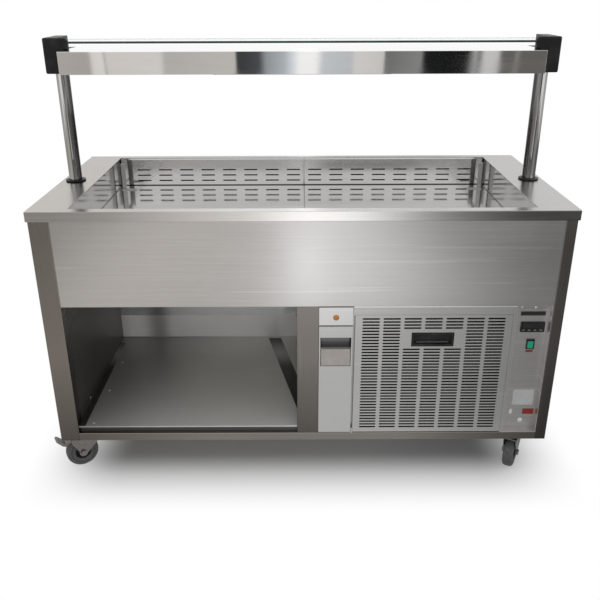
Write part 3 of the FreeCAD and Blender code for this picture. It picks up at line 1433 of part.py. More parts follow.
def make_pedal(tag):
    """A brake pedal that turns on a pin through the fork's ears."""
    paddle = padded_outline("Paddle" + tag, "XZ_Plane", [
        ("-pedal_pivot_back", "pedal_pivot_rise - pedal_thickness / 2"),
        ("-pedal_pivot_back", "pedal_pivot_rise + pedal_thickness / 2"),
        ("-pedal_knee_back + pedal_thickness", "pedal_knee_rise + pedal_thickness"),
        ("-pedal_tip_back + pedal_thickness", "pedal_tip_rise"),
        ("-pedal_tip_back", "pedal_tip_rise - pedal_thickness"),
        ("-pedal_knee_back - pedal_thickness", "pedal_knee_rise"),
        ("-pedal_knee_back + pedal_thickness", "pedal_knee_rise - pedal_thickness"),
    ], "0", "pedal_width", both_ways=True)
    width = "2 * fork_inner - 2 * pedal_gap"
    hub = rod("PedalHub" + tag, "y", ("-pedal_pivot_back", "pedal_gap - fork_inner", "pedal_pivot_rise"),
              "pedal_hub", width)
    pin = rod("PedalPin" + tag, "y", ("-pedal_pivot_back", "-fork_outer", "pedal_pivot_rise"),
              "pedal_pin_radius", "2 * fork_outer")
    return join("BrakePedal" + tag, [paddle, hub, pin])


def check_and_write():
    """Stop if anything failed, then write one file for each sub-part."""
    doc.recompute()
    failed = [thing.Label for thing in doc.Objects if {"Invalid", "Error"} & set(thing.State)]
    if failed:
        raise RuntimeError("not built: " + ", ".join(failed))
    os.makedirs("parts", exist_ok=True)
    for made in nodes:
        shape = made.Shape
        if shape.isNull() or not shape.isValid() or not shape.Solids:
            raise RuntimeError("no sound solid: " + made.Label)
        shape.exportStep(f"parts/{made.Label}.step")
    print(len(nodes), "sub-parts written")


make_frame()
make_panels()
make_base_shelf()
make_well()
make_air_panels()
make_deck()
make_evaporator()
make_gantry()
make_narrow_bay()
make_grille()
make_controls()
make_unit()
make_castors()
check_and_write()
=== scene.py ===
import json
import math

import bmesh
import bpy
from mathutils import Matrix, Vector


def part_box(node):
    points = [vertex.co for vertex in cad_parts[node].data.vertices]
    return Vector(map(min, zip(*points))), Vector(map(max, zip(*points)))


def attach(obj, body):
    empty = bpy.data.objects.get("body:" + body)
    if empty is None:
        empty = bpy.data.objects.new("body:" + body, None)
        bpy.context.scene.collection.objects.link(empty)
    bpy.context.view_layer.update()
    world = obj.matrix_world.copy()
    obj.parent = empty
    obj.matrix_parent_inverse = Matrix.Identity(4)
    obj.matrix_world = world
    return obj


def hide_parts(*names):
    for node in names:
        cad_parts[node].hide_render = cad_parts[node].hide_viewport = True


# Looks for a mobile chilled servery counter: finishes for the sheet metal, and small fittings.
# Metres, in the same frame as the solids.

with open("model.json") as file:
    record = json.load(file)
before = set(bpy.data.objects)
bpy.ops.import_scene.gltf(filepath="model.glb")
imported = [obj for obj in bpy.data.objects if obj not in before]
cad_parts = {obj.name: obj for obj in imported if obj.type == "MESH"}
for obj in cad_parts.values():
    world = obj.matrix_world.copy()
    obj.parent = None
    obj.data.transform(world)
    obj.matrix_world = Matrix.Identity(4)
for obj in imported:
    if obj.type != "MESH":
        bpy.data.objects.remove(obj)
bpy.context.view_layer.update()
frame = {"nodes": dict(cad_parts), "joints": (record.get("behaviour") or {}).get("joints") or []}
nodes = frame["nodes"]
joints = {joint["name"]: joint for joint in frame["joints"]}

CORNERS = ("front_left", "front_right", "rear_right", "rear_left")
BRAKED = ("front_left", "rear_right")
BUTTONS = (1, 2, 3, 4)
SHEET = 0.0015
SHELF_TOP = 0.180
BLACK = (0.0, 0.0, 0.0, 1.0)
WHITE = (1.0, 1.0, 1.0, 1.0)


# Shader sums
class Wire:
    """One shader socket, used in Python sums; node() adds any other node beside it."""

    def __init__(self, tree, socket=None):
        self.tree = tree
        self.socket = socket

    def node(self, kind, settings=None, inputs=None, out=0):
        """Add a node: its settings are set first, then values or links go to its sockets."""
        made = self.tree.nodes.new("ShaderNode" + kind)
        for name, setting in (settings or {}).items():
            if name == "stops":
                set_stops(made.color_ramp, setting)
            else:
                setattr(made, name, setting)
        for name, given in (inputs or {}).items():
            self.feed(made.inputs[name], given)
        return Wire(self.tree, made.outputs[out])

    def feed(self, target, given):
        """Link a wire to a socket, or set a plain value on it."""
        if isinstance(given, Wire):
            self.tree.links.new(given.socket, target)
        else:
            target.default_value = given

    def maths(self, operation, first, second=0.0):
        return self.node("Math", {"operation": operation}, {0: first, 1: second})

    def __add__(self, other):
        return self.maths("ADD", self, other)

    __radd__ = __add__

    def __mul__(self, other):
        return self.maths("MULTIPLY", self, other)

    __rmul__ = __mul__

    def __sub__(self, other):
        return self.maths("SUBTRACT", self, other)

    def __rsub__(self, other):
        return self.maths("SUBTRACT", other, self)

    def __abs__(self):
        return self.maths("ABSOLUTE", self)

    def above(self, limit):
        """1 where this is more than the limit, and 0 elsewhere."""
        return self.maths("GREATER_THAN", self, limit)

    def clamp(self):
        return self.node("Clamp", None, {0: self})

    def ramp(self, low, high, eased=False):
        """0 at low and 1 at high, held outside them."""
        settings = {"interpolation_type": "SMOOTHSTEP" if eased else "LINEAR"}
        return self.node("MapRange", settings, {"Value": self, "From Min": low, "From Max": high})

    def peak(self, centre, reach):
        """1 at the centre, falling to 0 at that reach either side."""
        return 1.0 - abs(self - centre).ramp(0.0, reach, eased=True)


def set_stops(ramp, stops):
    while len(ramp.elements) < len(stops):
        ramp.elements.new(1.0)
    for element, (place, colour) in zip(ramp.elements, stops):
        element.position = place
        element.color = colour


def tone(level, warmth=0.0):
    """A grey, leaning warm for a positive warmth and cool for a negative one."""
    return (level * (1 + warmth), level, level * (1 - warmth), 1.0)


def faded(colour, grey, share):
    """A colour moved a share of the way to a grey."""
    return tuple(part + (grey - part) * share for part in colour[:3]) + (1.0,)


def mix(wire, factor, first, second):
    """The first colour where the factor is 0, and the second where it is 1."""
    return wire.node("Mix", {"data_type": "RGBA"}, {0: factor, 6: first, 7: second}, out=2)


def place_of(wire):
    """The point on the object, in metres."""
    return wire.node("TexCoord", None, None, out="Object")


def along_axis(wire, axis):
    return wire.node("SeparateXYZ", None, {0: place_of(wire)}, out=axis)


def noise(wire, vector, scale, detail, rough):
    inputs = {"Vector": vector, "Scale": scale, "Detail": detail, "Roughness": rough}
    return wire.node("TexNoise", None, inputs)


def clouds(wire, scale, detail=3.0):
    """Noise that is alike on every axis, its scale in patches to the metre."""
    return noise(wire, place_of(wire), scale, detail, rough=0.5)


def streaks(wire, scale, detail, rough=0.5):
    """Noise drawn out along some axes, with a scale for each."""
    vector = wire.node("Mapping", None, {"Vector": place_of(wire), "Scale": scale})
    return noise(wire, vector, 1.0, detail, rough)


def bump(wire, height, strength, distance):
    return wire.node("Bump", None, {"Height": height, "Strength": strength, "Distance": distance})


def finish(name, paint, constants=None):
    """A material on one Principled shader: constants on its sockets, then what paint links to it."""
    made = bpy.data.materials.new(name)
    made.use_nodes = True
    tree = made.node_tree
    shader = tree.nodes["Principled BSDF"]
    for socket, constant in (constants or {}).items():
        shader.inputs[socket].default_value = constant
    wire = Wire(tree)
    for socket, given in paint(wire).items():
        wire.feed(shader.inputs[socket], given)
    return made


# Metals
GRAIN_FINE = 700.0
GRAIN_LONG = 4.0
SCRATCH_FINE = 63.0
SCRATCH_LONG = 2.0
GRAIN_RELIEF = 0.0004


def grain_scale(along, long, fine):
    """The long scale on the axes that the grain runs along, and the fine one on the others."""
    return [long if axis in along else fine for axis in "xyz"]


def brushed(name, level, warmth, rough, along, spread=0.12, relief=0.12, metal=1.0, shade=None):
    """Satin steel with its grain along the given axes, cloudy wiping marks and a few long scratches.

    shade takes a wire and gives how much of the colour is kept at each place: painted shade and highlights."""
    def paint(wire):
        grain = streaks(wire, grain_scale(along, GRAIN_LONG, GRAIN_FINE), detail=2.0, rough=0.6)
        wiped = clouds(wire, scale=3.5, detail=4.0)
        marks = streaks(wire, grain_scale(along, SCRATCH_LONG, SCRATCH_FINE), detail=1.0)
        scratches = marks.ramp(0.66, 0.74)
        blend = (grain * 0.55 + wiped * 0.45 + scratches * 0.25).ramp(0.3, 0.75)
        colour = mix(wire, blend, tone(level * (1 - spread), warmth), tone(level * (1 + spread), warmth))
        if shade:
            colour = mix(wire, shade(wire), BLACK, colour)
        roughness = rough + (grain - 0.5) * 0.1 + (wiped - 0.5) * 0.14
        normal = bump(wire, grain, relief, GRAIN_RELIEF)
        return {"Base Color": colour, "Roughness": roughness, "Normal": normal}
    return finish(name, paint, {"Metallic": metal})


SMEAR_SCALE = (3.0, 22.0, 22.0)
HAIR_SCALE = (9.0, 420.0, 420.0)
HAIR_DEPTH = 0.0004
WAVE_RELIEF = 0.05


def mirrored(name, level, rough, waves, warmth=0.0, shade=None, dull=None):
    """Polished steel: slow waves in the sheet, wiping smears and hairline scratches.

    shade gives the colour kept at each place, for painted shade and highlights; dull how much rougher it is
    there."""
    def paint(wire):
        slow = clouds(wire, scale=2.2, detail=1.0)
        smears = streaks(wire, SMEAR_SCALE, detail=4.0)
        hairs = streaks(wire, HAIR_SCALE, detail=2.0).ramp(0.6, 0.78)
        colour = mix(wire, smears.ramp(0.3, 0.8), tone(level * 0.94, warmth), tone(level * 1.03, warmth))
        if shade:
            colour = mix(wire, shade(wire), BLACK, colour)
        roughness = rough + smears.ramp(0.45, 0.8) * 0.05 + hairs * 0.04
        if dull:
            roughness = roughness + dull(wire)
        normal = bump(wire, slow + hairs * HAIR_DEPTH, waves, WAVE_RELIEF)
        return {"Base Color": colour, "Roughness": roughness, "Normal": normal}
    return finish(name, paint, {"Metallic": 1.0})


def zinc(name, level):
    """Bright plated steel with a faint crystal mottle."""
    def paint(wire):
        crystals = wire.node("TexVoronoi", None, {"Vector": place_of(wire), "Scale": 160.0}, out="Color")
        patches = clouds(wire, scale=40.0)
        mottle = wire.node("SeparateColor", None, {0: crystals}) * 0.5 + patches * 0.5
        colour = mix(wire, mottle, tone(level * 0.75, 0.03), tone(level * 1.15))
        normal = bump(wire, mottle, strength=0.08, distance=0.0005)
        return {"Base Color": colour, "Roughness": 0.28 + mottle * 0.2, "Normal": normal}
    return finish(name, paint, {"Metallic": 1.0})


def finned(name, pitch, dark, bright):
    """Thin aluminium fins along X, drawn as close dark and bright lines."""
    def paint(wire):
        lines = wire.maths("SINE", along_axis(wire, "X") * (2 * math.pi / pitch)) * 0.5 + 0.5
        dust = clouds(wire, scale=25.0, detail=4.0)
        colour = mix(wire, lines * 0.8 + dust * 0.2, tone(dark), tone(bright))
        normal = bump(wire, lines, strength=0.2, distance=0.0004)
        return {"Base Color": colour, "Roughness": 0.4 + dust * 0.25, "Normal": normal}
    return finish(name, paint, {"Metallic": 1.0})


BRIGHT_COPPER = (0.72, 0.34, 0.2, 1.0)
DULL_COPPER = (0.34, 0.17, 0.1, 1.0)


def copper_pipe():
    def paint(wire):
        tarnish = clouds(wire, scale=30.0, detail=5.0)
        colour = mix(wire, tarnish.ramp(0.35, 0.7), BRIGHT_COPPER, DULL_COPPER)
        return {"Base Color": colour, "Roughness": 0.22 + tarnish * 0.25}
    return finish("copper_pipe", paint, {"Metallic": 1.0})


# Plastics, rubber, foam, paint and glass
def moulded(name, colour, rough):
    """Moulded plastic with a fine skin texture and rubbed patches."""
    def paint(wire):
        skin = clouds(wire, scale=900.0, detail=2.0)
        rubbed = clouds(wire, scale=14.0, detail=4.0).ramp(0.45, 0.75)
        shade = mix(wire, rubbed, colour, faded(colour, 0.5, 0.06))
        roughness = rough - rubbed * 0.07 + (skin - 0.5) * 0.1
        normal = bump(wire, skin, strength=0.12, distance=0.0003)
        return {"Base Color": shade, "Roughness": roughness, "Normal": normal}
    return finish(name, paint, {"Specular IOR Level": 0.2})


def tyre_rubber():
    def paint(wire):
        dust = clouds(wire, scale=60.0, detail=5.0)
        skin = clouds(wire, scale=700.0, detail=2.0)
        colour = mix(wire, dust.ramp(0.3, 0.75), tone(0.065, -0.02), tone(0.12))
        normal = bump(wire, skin, strength=0.15, distance=0.0004)
        return {"Base Color": colour, "Roughness": 0.6 + dust * 0.2, "Normal": normal}
    return finish("tyre_rubber", paint)


DARK_FOAM = (0.66, 0.56, 0.34, 1.0)
PALE_FOAM = (0.8, 0.72, 0.5, 1.0)


def rigid_foam():
    def paint(wire):
        cells = wire.node("TexVoronoi", None, {"Vector": place_of(wire), "Scale": 260.0})
        patches = clouds(wire, scale=9.0)
        colour = mix(wire, patches, DARK_FOAM, PALE_FOAM)
        normal = bump(wire, cells, strength=0.4, distance=0.001)
        return {"Base Color": colour, "Roughness": 0.85 + patches * 0.1, "Normal": normal}
    return finish("rigid_foam", paint)


def enamel(name, colour, rough):
    """Sprayed paint with a slight orange peel and dust."""
    def paint(wire):
        peel = clouds(wire, scale=420.0, detail=1.0)
        dust = clouds(wire, scale=18.0, detail=5.0)
        shade = mix(wire, dust.ramp(0.45, 0.8), colour, faded(colour, 0.6, 0.12))
        normal = bump(wire, peel, strength=0.1, distance=0.0004)
        return {"Base Color": shade, "Roughness": rough + dust * 0.15, "Normal": normal}
    return finish(name, paint)


def clear_lens(name, colour, glow):
    """Tinted clear plastic with moulded ribs; a little light comes through it."""
    def paint(wire):
        ribs = clouds(wire, scale=500.0, detail=1.0)
        shade = mix(wire, ribs, faded(colour, 0.0, 0.25), colour)
        normal = bump(wire, ribs, strength=0.1, distance=0.0004)
        roughness = 0.12 + ribs * 0.1
        return {"Base Color": shade, "Roughness": roughness, "Emission Color": shade, "Normal": normal}
    return finish(name, paint, {"Emission Strength": glow, "Coat Weight": 0.4})


def plain_plate(name, colour, rough, worn=0.15):
    """A blank plate or sticker: one ink with faint fading towards its worn patches."""
    def paint(wire):
        fade = clouds(wire, scale=55.0, detail=4.0)
        shade = mix(wire, fade.ramp(0.4, 0.75), colour, faded(colour, 0.75, worn))
        return {"Base Color": shade, "Roughness": rough + fade * 0.12}
    return finish(name, paint)


TUBE_ENDS = (0.2, 0.245)


def frosted_tube():
    """A pale lamp tube with duller ends."""
    def paint(wire):
        ends = abs(along_axis(wire, "X")).ramp(*TUBE_ENDS)
        haze = clouds(wire, scale=60.0)
        colour = mix(wire, ends, tone(0.85), tone(0.45, 0.05))
        return {"Base Color": colour, "Roughness": 0.2 + haze * 0.15}
    return finish("lamp_glow", paint)


GLASS_TINTS = ((0.93, 0.97, 0.96, 1.0), (0.97, 0.99, 0.98, 1.0))
EDGE_TINTS = ((0.004, 0.012, 0.010, 1.0), (0.02, 0.06, 0.045, 1.0))
GLASS_SMEARS = (4.0, 14.0, 1.0)
GLASS_IOR = 1.08
LEVEL_FACE = 0.5


def shelf_glass():
    """Clear glass with dark green polished edges, told apart by which way the surface faces."""
    made = bpy.data.materials.new("shelf_glass")
    made.use_nodes = True
    wire = Wire(made.node_tree)
    sheet = made.node_tree.nodes["Principled BSDF"]
    sheet.inputs["Transmission Weight"].default_value = 1.0
    sheet.inputs["IOR"].default_value = GLASS_IOR
    smears = streaks(wire, GLASS_SMEARS, detail=4.0)
    wire.feed(sheet.inputs["Base Color"], mix(wire, smears, *GLASS_TINTS))
    wire.feed(sheet.inputs["Roughness"], smears.ramp(0.5, 0.9) * 0.06)
    ripple = clouds(wire, scale=30.0, detail=2.0)
    edge_looks = {"Base Color": mix(wire, ripple, *EDGE_TINTS), "Roughness": 0.15 + ripple * 0.1}
    edge = wire.node("BsdfPrincipled", None, edge_looks)
    normal = wire.node("NewGeometry", None, None, out="Normal")
    upward = wire.node("SeparateXYZ", None, {0: normal}, out="Z")
    level = abs(upward).above(LEVEL_FACE)
    both = wire.node("MixShader", None, {0: level, 1: edge, 2: Wire(wire.tree, sheet.outputs[0])})
    wire.feed(made.node_tree.nodes["Material Output"].inputs["Surface"], both)
    return made


# Painted shade, highlights and reflections: how much of a finish's colour is kept at each place
PULL_DEPTH = (0.002, 0.010)
PULL_Z = (0.452, 0.481)
PULL_SIDE = (0.0405, 0.0435)


def pull_shade(wire):
    """Painted shade inside the drawer's finger pull, less so down towards its lower lip."""
    low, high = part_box("drawer_front")
    inside = along_axis(wire, "Y").ramp(low.y + PULL_DEPTH[0], low.y + PULL_DEPTH[1])
    aside = abs(along_axis(wire, "X") - (low.x + high.x) / 2)
    downward = 0.95 - along_axis(wire, "Z").ramp(*PULL_Z) * 0.6
    lit = downward * (1.0 - aside.ramp(*PULL_SIDE) * 0.9)
    return 1.0 - inside * (1.0 - lit * 0.5)


FOOT_LINE = (0.0025, 0.0055)


def foot_shade(wire):
    """Painted shade along the foot of the air panels, where the deck plates stop short of them."""
    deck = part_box("deck_bearers")[1].z
    return along_axis(wire, "Z").ramp(deck + FOOT_LINE[0], deck + FOOT_LINE[1]) * 0.95 + 0.05


SUPPORT_FOOT = (0.0003, 0.001)


def above_deck(wire):
    """1 on the pan supports, which stand on the deck plates."""
    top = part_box("deck_bearers")[1].z + SHEET
    return along_axis(wire, "Z").ramp(top + SUPPORT_FOOT[0], top + SUPPORT_FOOT[1])


BRACKET_OUTER = 0.629
BRACKET_LINE = 0.0036


def bracket_shade(wire):
    """Painted shade on the pan supports' outer folds; the deck plates keep their colour."""
    aside = abs(along_axis(wire, "X"))
    outer = aside.ramp(BRACKET_OUTER - BRACKET_LINE, BRACKET_OUTER - BRACKET_LINE * 0.7)
    return 1.0 - above_deck(wire) * outer * 0.85


def bracket_dull(wire):
    """The pan supports are rougher than the deck plates."""
    return above_deck(wire) * 0.3


# Painted reflection: the grey kept at each share of the way across a post
POST_REFLECTION_TONES = (
    (0.0, 0.06), (0.12, 0.16), (0.25, 0.42), (0.40, 0.36), (0.48, 0.2), (0.52, 0.9),
    (0.66, 1.0), (0.72, 0.55), (0.85, 0.45), (0.92, 0.14), (1.0, 0.06),
)


def painted_post_reflection(wire):
    """Painted reflection streaks along the bright tubes, from their inner side to their outer side."""
    low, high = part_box("gantry_posts")
    width = high.y - low.y
    outward = abs(along_axis(wire, "X")).ramp(high.x - width, high.x)
    stops = [(place, tone(grey)) for place, grey in POST_REFLECTION_TONES]
    return wire.node("ValToRGB", {"stops": stops}, {0: outward})


LEG_FOOT_Z = (0.14, 0.42)
LEG_RIGHT_X = (0.3, 0.68)


def leg_shade(wire):
    """Painted shade: duller near the floor, and on the right-hand legs."""
    upward = 0.5 + along_axis(wire, "Z").ramp(*LEG_FOOT_Z) * 0.5
    return upward * (1.0 - along_axis(wire, "X").ramp(*LEG_RIGHT_X) * 0.3)


RAIL_TOP = 0.157
RAIL_EDGE = 0.0022
RAIL_LEFT_X = (-0.66, -0.3)
RAIL_RIGHT_X = (0.3, 0.66)


def rail_shade(wire):
    """Painted shade at both ends of the front, and a painted highlight along the top edge."""
    x, z = along_axis(wire, "X"), along_axis(wire, "Z")
    ends = 0.30 + x.ramp(*RAIL_LEFT_X) * 0.24 - x.ramp(*RAIL_RIGHT_X) * 0.2
    return ends + z.ramp(RAIL_TOP - RAIL_EDGE, RAIL_TOP - RAIL_EDGE * 0.6) * 0.4


LEDGE_Y = (-0.324, -0.318)
TOP_EDGE_Z = (0.8575, 0.8592)
TOP_EDGE_X = (0.15, 0.6)
LEDGE_MIDDLE, LEDGE_REACH = 0.03, 0.62


def top_shade(wire):
    """A painted highlight along the front ledge, brightest at its middle, and painted shade on its edge face
    to the right.
    """
    x, y, z = [along_axis(wire, axis) for axis in "XYZ"]
    front = 1.0 - y.ramp(*LEDGE_Y)
    edge = 1.0 - z.ramp(*TOP_EDGE_Z)
    middle = x.peak(LEDGE_MIDDLE, LEDGE_REACH)
    return 0.54 + front * middle * 0.46 - front * edge * x.ramp(*TOP_EDGE_X) * 0.34


HEADER_LINE = 0.0028


def face_shade(wire):
    """A bright line where the surround's top fold catches the light."""
    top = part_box("grille_frame")[1].z
    return 0.5 + along_axis(wire, "Z").ramp(top - HEADER_LINE, top - HEADER_LINE * 0.7) * 0.5


# Painted reflection streaks up the bay's back, each as the place along X of its middle and its reach
PALE_STREAK = (-0.635, 0.06)
DULL_STREAK = (-0.545, 0.06)
LEG_STREAK = (-0.052, 0.05)
BAY_MIDDLE_X = (-0.5, -0.38)


def bay_back_shade(wire):
    """Painted reflections: a pale and a dull streak to the left, even in the middle, and bright by the
    middle leg.
    """
    x = along_axis(wire, "X")
    left = x.peak(*PALE_STREAK) * 0.25 - x.peak(*DULL_STREAK) * 0.4
    return 0.68 + left + x.ramp(*BAY_MIDDLE_X, eased=True) * 0.08 + x.peak(*LEG_STREAK) * 0.4


SHELF_NOSE = (0.1755, 0.1765)
SHELF_UPSTAND = (0.181, 0.186)
SHELF_LEFT_X = (-0.66, -0.30)
SHELF_LEFT_LEAN = -0.22
SHELF_RIGHT_X = (-0.4, -0.05)


def shelf_shade(wire):
    """Painted shade along the left side, where the bay's wall keeps the light off, and on the front fold.

    The upstand at the back is brighter, with the same painted reflection streaks as the panel above it."""
    x, y, z = [along_axis(wire, axis) for axis in "XYZ"]
    side = (x + y * SHELF_LEFT_LEAN).ramp(*SHELF_LEFT_X, eased=True)
    fold = 1.0 - z.ramp(*SHELF_NOSE)
    level = (0.28 + side * 0.27 + x.ramp(*SHELF_RIGHT_X) * 0.12) * (1.0 - fold * 0.85)
    return level + (bay_back_shade(wire) + 0.1 - level) * z.ramp(*SHELF_UPSTAND)


STRIP_HIGHLIGHT, STRIP_REACH = 0.13, 0.12


def strip_shade(wire):
    """A painted highlight on the strips towards their back ends."""
    return 0.12 + along_axis(wire, "Y").peak(STRIP_HIGHLIGHT, STRIP_REACH) * 0.88


# Share of the canopy's colour kept on its upright faces, as painted shade
FASCIA_KEPT = 0.72
CANOPY_EDGE = 0.002


def canopy_shade(wire):
    """Painted shade on the upright faces; the top and a thin line at its edge stay full bright, a painted
    highlight.
    """
    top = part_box("light_canopy")[1].z
    upper = along_axis(wire, "Z").ramp(top - CANOPY_EDGE, top - CANOPY_EDGE / 2)
    return FASCIA_KEPT + upper * (1.0 - FASCIA_KEPT)


CONTROL_FACE_Y = (-0.3236, -0.3226)
CONTROL_LEFT_X = (0.614, 0.625)
CONTROL_HEAD_Z = (0.556, 0.568)


def control_shade(wire):
    """Painted shade on the recessed face, most of all up its left side and under its top; its folds stay
    paler.
    """
    x, y, z = [along_axis(wire, axis) for axis in "XYZ"]
    dull = 0.45 + x.ramp(*CONTROL_LEFT_X) * 0.3 - z.ramp(*CONTROL_HEAD_Z) * 0.25
    return 1.0 - y.ramp(*CONTROL_FACE_Y) * (1.0 - dull)


TRAY_X = (0.2, 0.5)


def machine_shade(wire):
    """The machine tray is paler to the left, where light falls in from the drawer's side."""
    return 1.0 - along_axis(wire, "X").ramp(*TRAY_X) * 0.7


FINISHES = {
    "front": brushed("front_panel_steel", level=0.43, warmth=0.015, rough=0.22, along="xy", spread=0.09),
    "casing": brushed("casing_steel", level=0.44, warmth=0.02, rough=0.30, along="xy"),
    # the legs' low level is painted shade: the same steel as the front panel, kept darker
    "leg": brushed("leg_steel", level=0.175, warmth=0.085, rough=0.30, along="z", shade=leg_shade),
    "rail": brushed("rail_steel", level=0.36, warmth=0.085, rough=0.30, along="x", shade=rail_shade),
    "top": brushed("counter_steel", level=0.68, warmth=0.02, rough=0.24, along="x", spread=0.08,
                   shade=top_shade),
    "face": brushed("grille_steel", level=0.84, warmth=0.01, rough=0.34, along="xy", spread=0.07,
                    relief=0.06, shade=face_shade),
    "drawer": brushed("drawer_steel", level=0.46, warmth=0.005, rough=0.32, along="xy", spread=0.06,
                      relief=0.06, shade=pull_shade),
    "indicator": brushed("indicator_steel", level=0.56, warmth=0.005, rough=0.32, along="xy", spread=0.06,
                         relief=0.06),
    "control": brushed("control_panel_steel", level=0.57, warmth=0.02, rough=0.36, along="xy", spread=0.16,
                       relief=0.06, shade=control_shade),
    "shelf": brushed("shelf_steel", level=0.95, warmth=0.015, rough=0.34, along="x", spread=0.08,
                     metal=0.35, shade=shelf_shade),
    # the liner and partition are kept very dark: painted shade deep in the bay
    "liner": brushed("bay_liner_steel", level=0.10, warmth=0.02, rough=0.30, along="xy", metal=0.6),
    "bay_back": brushed("bay_back_steel", level=0.95, warmth=-0.015, rough=0.20, along="xy", spread=0.05,
                        metal=0.75, shade=bay_back_shade),
    "machine": brushed("machine_bay_steel", level=0.5, warmth=0.0, rough=0.4, along="xy", metal=0.5,
                       shade=machine_shade),
    "well": mirrored("well_steel", level=0.68, rough=0.10, waves=0.02),
    "deck": mirrored("deck_steel", level=0.53, rough=0.06, waves=0.02, warmth=0.02, shade=bracket_shade,
                     dull=bracket_dull),
    "air_panel": mirrored("air_panel_steel", level=0.74, rough=0.10, waves=0.02, warmth=0.01,
                          shade=foot_shade),
    "canopy": mirrored("canopy_steel", level=0.86, rough=0.03, waves=0.012, warmth=0.01, shade=canopy_shade),
    "post": mirrored("post_chrome", level=0.62, rough=0.06, waves=0.0, warmth=0.02, shade=painted_post_reflection),
    "zinc": zinc("castor_zinc", level=0.17),
    "plain": zinc("plain_steel", level=0.30),
    "screw": zinc("screw_steel", level=0.8),
    "cap": moulded("cap_plastic", tone(0.008), rough=0.42),
    "knob": moulded("control_plastic", tone(0.010), rough=0.4),
    "button": moulded("button_plastic", tone(0.16), rough=0.4),
    "fan": moulded("fan_plastic", tone(0.02), rough=0.4),
    "bin": moulded("container_plastic", tone(0.6, 0.02), rough=0.4),
    "hub": moulded("hub_plastic", tone(0.008), rough=0.45),
    "tyre": tyre_rubber(),
    "foam": rigid_foam(),
    "evaporator": finned("evaporator_fins", pitch=0.005, dark=0.1, bright=0.6),
    "condenser": finned("condenser_fins", pitch=0.004, dark=0.008, bright=0.03),
    "copper": copper_pipe(),
    "compressor": enamel("compressor_enamel", tone(0.012), rough=0.3),
    "lamp": enamel("lamp_enamel", tone(0.72, 0.01), rough=0.35),
    "tube": frosted_tube(),
    "amber": clear_lens("amber_lens", (0.46, 0.16, 0.012, 1.0), glow=0.12),
    "green": clear_lens("green_rocker", (0.0, 0.28, 0.16, 1.0), glow=0.3),
    "glass": shelf_glass(),
    "silver_plate": plain_plate("blank_silver_plate", tone(0.46), rough=0.4),
    "beige_plate": plain_plate("blank_beige_plate", tone(0.36, 0.09), rough=0.4),
    "dark_plate": plain_plate("blank_dark_plate", tone(0.006, -0.1), rough=0.35, worn=0.01),
    "white_plate": plain_plate("blank_white_plate", tone(0.66), rough=0.5),
    "red_plate": plain_plate("blank_red_plate", (0.24, 0.012, 0.006, 1.0), rough=0.45, worn=0.03),
    # paler than the black cup: the lip's grey is a painted highlight on the grip edge
    "lip": moulded("handle_lip_plastic", tone(0.07), rough=0.35),
    "window": plain_plate("display_window", tone(0.004), rough=0.3, worn=0.006),
    "strip": brushed("shelf_strip_steel", level=0.34, warmth=0.0, rough=0.3, along="y", spread=0.3,
                     metal=0.5, shade=strip_shade),
}

NODE_FINISHES = {
    "front": ["front_panel"],
    "casing": ["rear_panel", "end_panels"],
    "leg": ["frame_legs"],
    "rail": ["frame_rails"],
    "top": ["counter_top"],
    "face": ["grille_frame", "grille_door"],
    "drawer": ["drawer_front"],
    "indicator": ["indicator_panel"],
    "control": ["control_panel"],
    "shelf": ["base_shelf"],
    "liner": ["bay_side_liner", "partition_panel"],
    "bay_back": ["storage_back_panel"],
    "machine": ["machine_base"],
    "well": ["well_tank"],
    "deck": ["deck_plate_left", "deck_plate_right"],
    "air_panel": ["rear_air_panels"],
    "canopy": ["light_canopy"],
    "post": ["gantry_posts"],
    "zinc": ["castor_plates"] + ["castor_fork_" + corner for corner in CORNERS]
            + ["brake_pedal_" + corner for corner in BRAKED],
    "plain": ["deck_bearers", "drawer_runners", "condenser_shroud", "evaporator_fan_frame"],
    "cap": ["post_collars", "gantry_end_caps", "door_handle_cup"],
    "knob": ["temperature_controller", "switch_bezel"],
    "button": [f"controller_button_{number}" for number in BUTTONS],
    "fan": ["evaporator_fan_left", "evaporator_fan_right", "condenser_fan"],
    "bin": ["drawer_container"],
    "tyre": ["castor_wheel_" + corner for corner in CORNERS],
    "foam": ["well_insulation"],
    "evaporator": ["evaporator_coil"],
    "condenser": ["condenser_coil"],
    "copper": ["refrigerant_pipes"],
    "compressor": ["compressor"],
    "lamp": ["gantry_lamp"],
    "tube": ["lamp_tube"],
    "amber": ["amber_lens"],
    "green": ["switch_rocker"],
    "glass": ["glass_shelf"],
}

# How far the edges of the folded sheets and mouldings are eased, where the light catches them
EASED_EDGES = {
    "counter_top": 0.0012, "front_panel": 0.0007, "frame_legs": 0.002, "frame_rails": 0.0015,
    "light_canopy": 0.0006, "drawer_front": 0.0006, "grille_frame": 0.0007, "indicator_panel": 0.0006,
    "base_shelf": 0.0005, "door_handle_cup": 0.0012, "temperature_controller": 0.001,
    "switch_bezel": 0.001, "post_collars": 0.002, "end_panels": 0.0007, "rear_panel": 0.0007,
}
FOLD_ANGLE = math.radians(40)
MERGE_GAP = 0.00002


def dress_nodes():
    for key, names in NODE_FINISHES.items():
        for name in names:
            solid = nodes[name]
            solid.data.materials.clear()
            solid.data.materials.append(FINISHES[key])
    for name, radius in EASED_EDGES.items():
        weld = nodes[name].modifiers.new("weld", "WELD")
        weld.merge_threshold = MERGE_GAP
        ease = nodes[name].modifiers.new("ease", "BEVEL")
        ease.width = radius
        ease.segments = 2
        ease.limit_method = "ANGLE"
        ease.angle_limit = FOLD_ANGLE
        ease.use_clamp_overlap = True


# Mesh pieces
SMOOTH_ANGLE = math.radians(35)
SAME_POINT = 1e-6


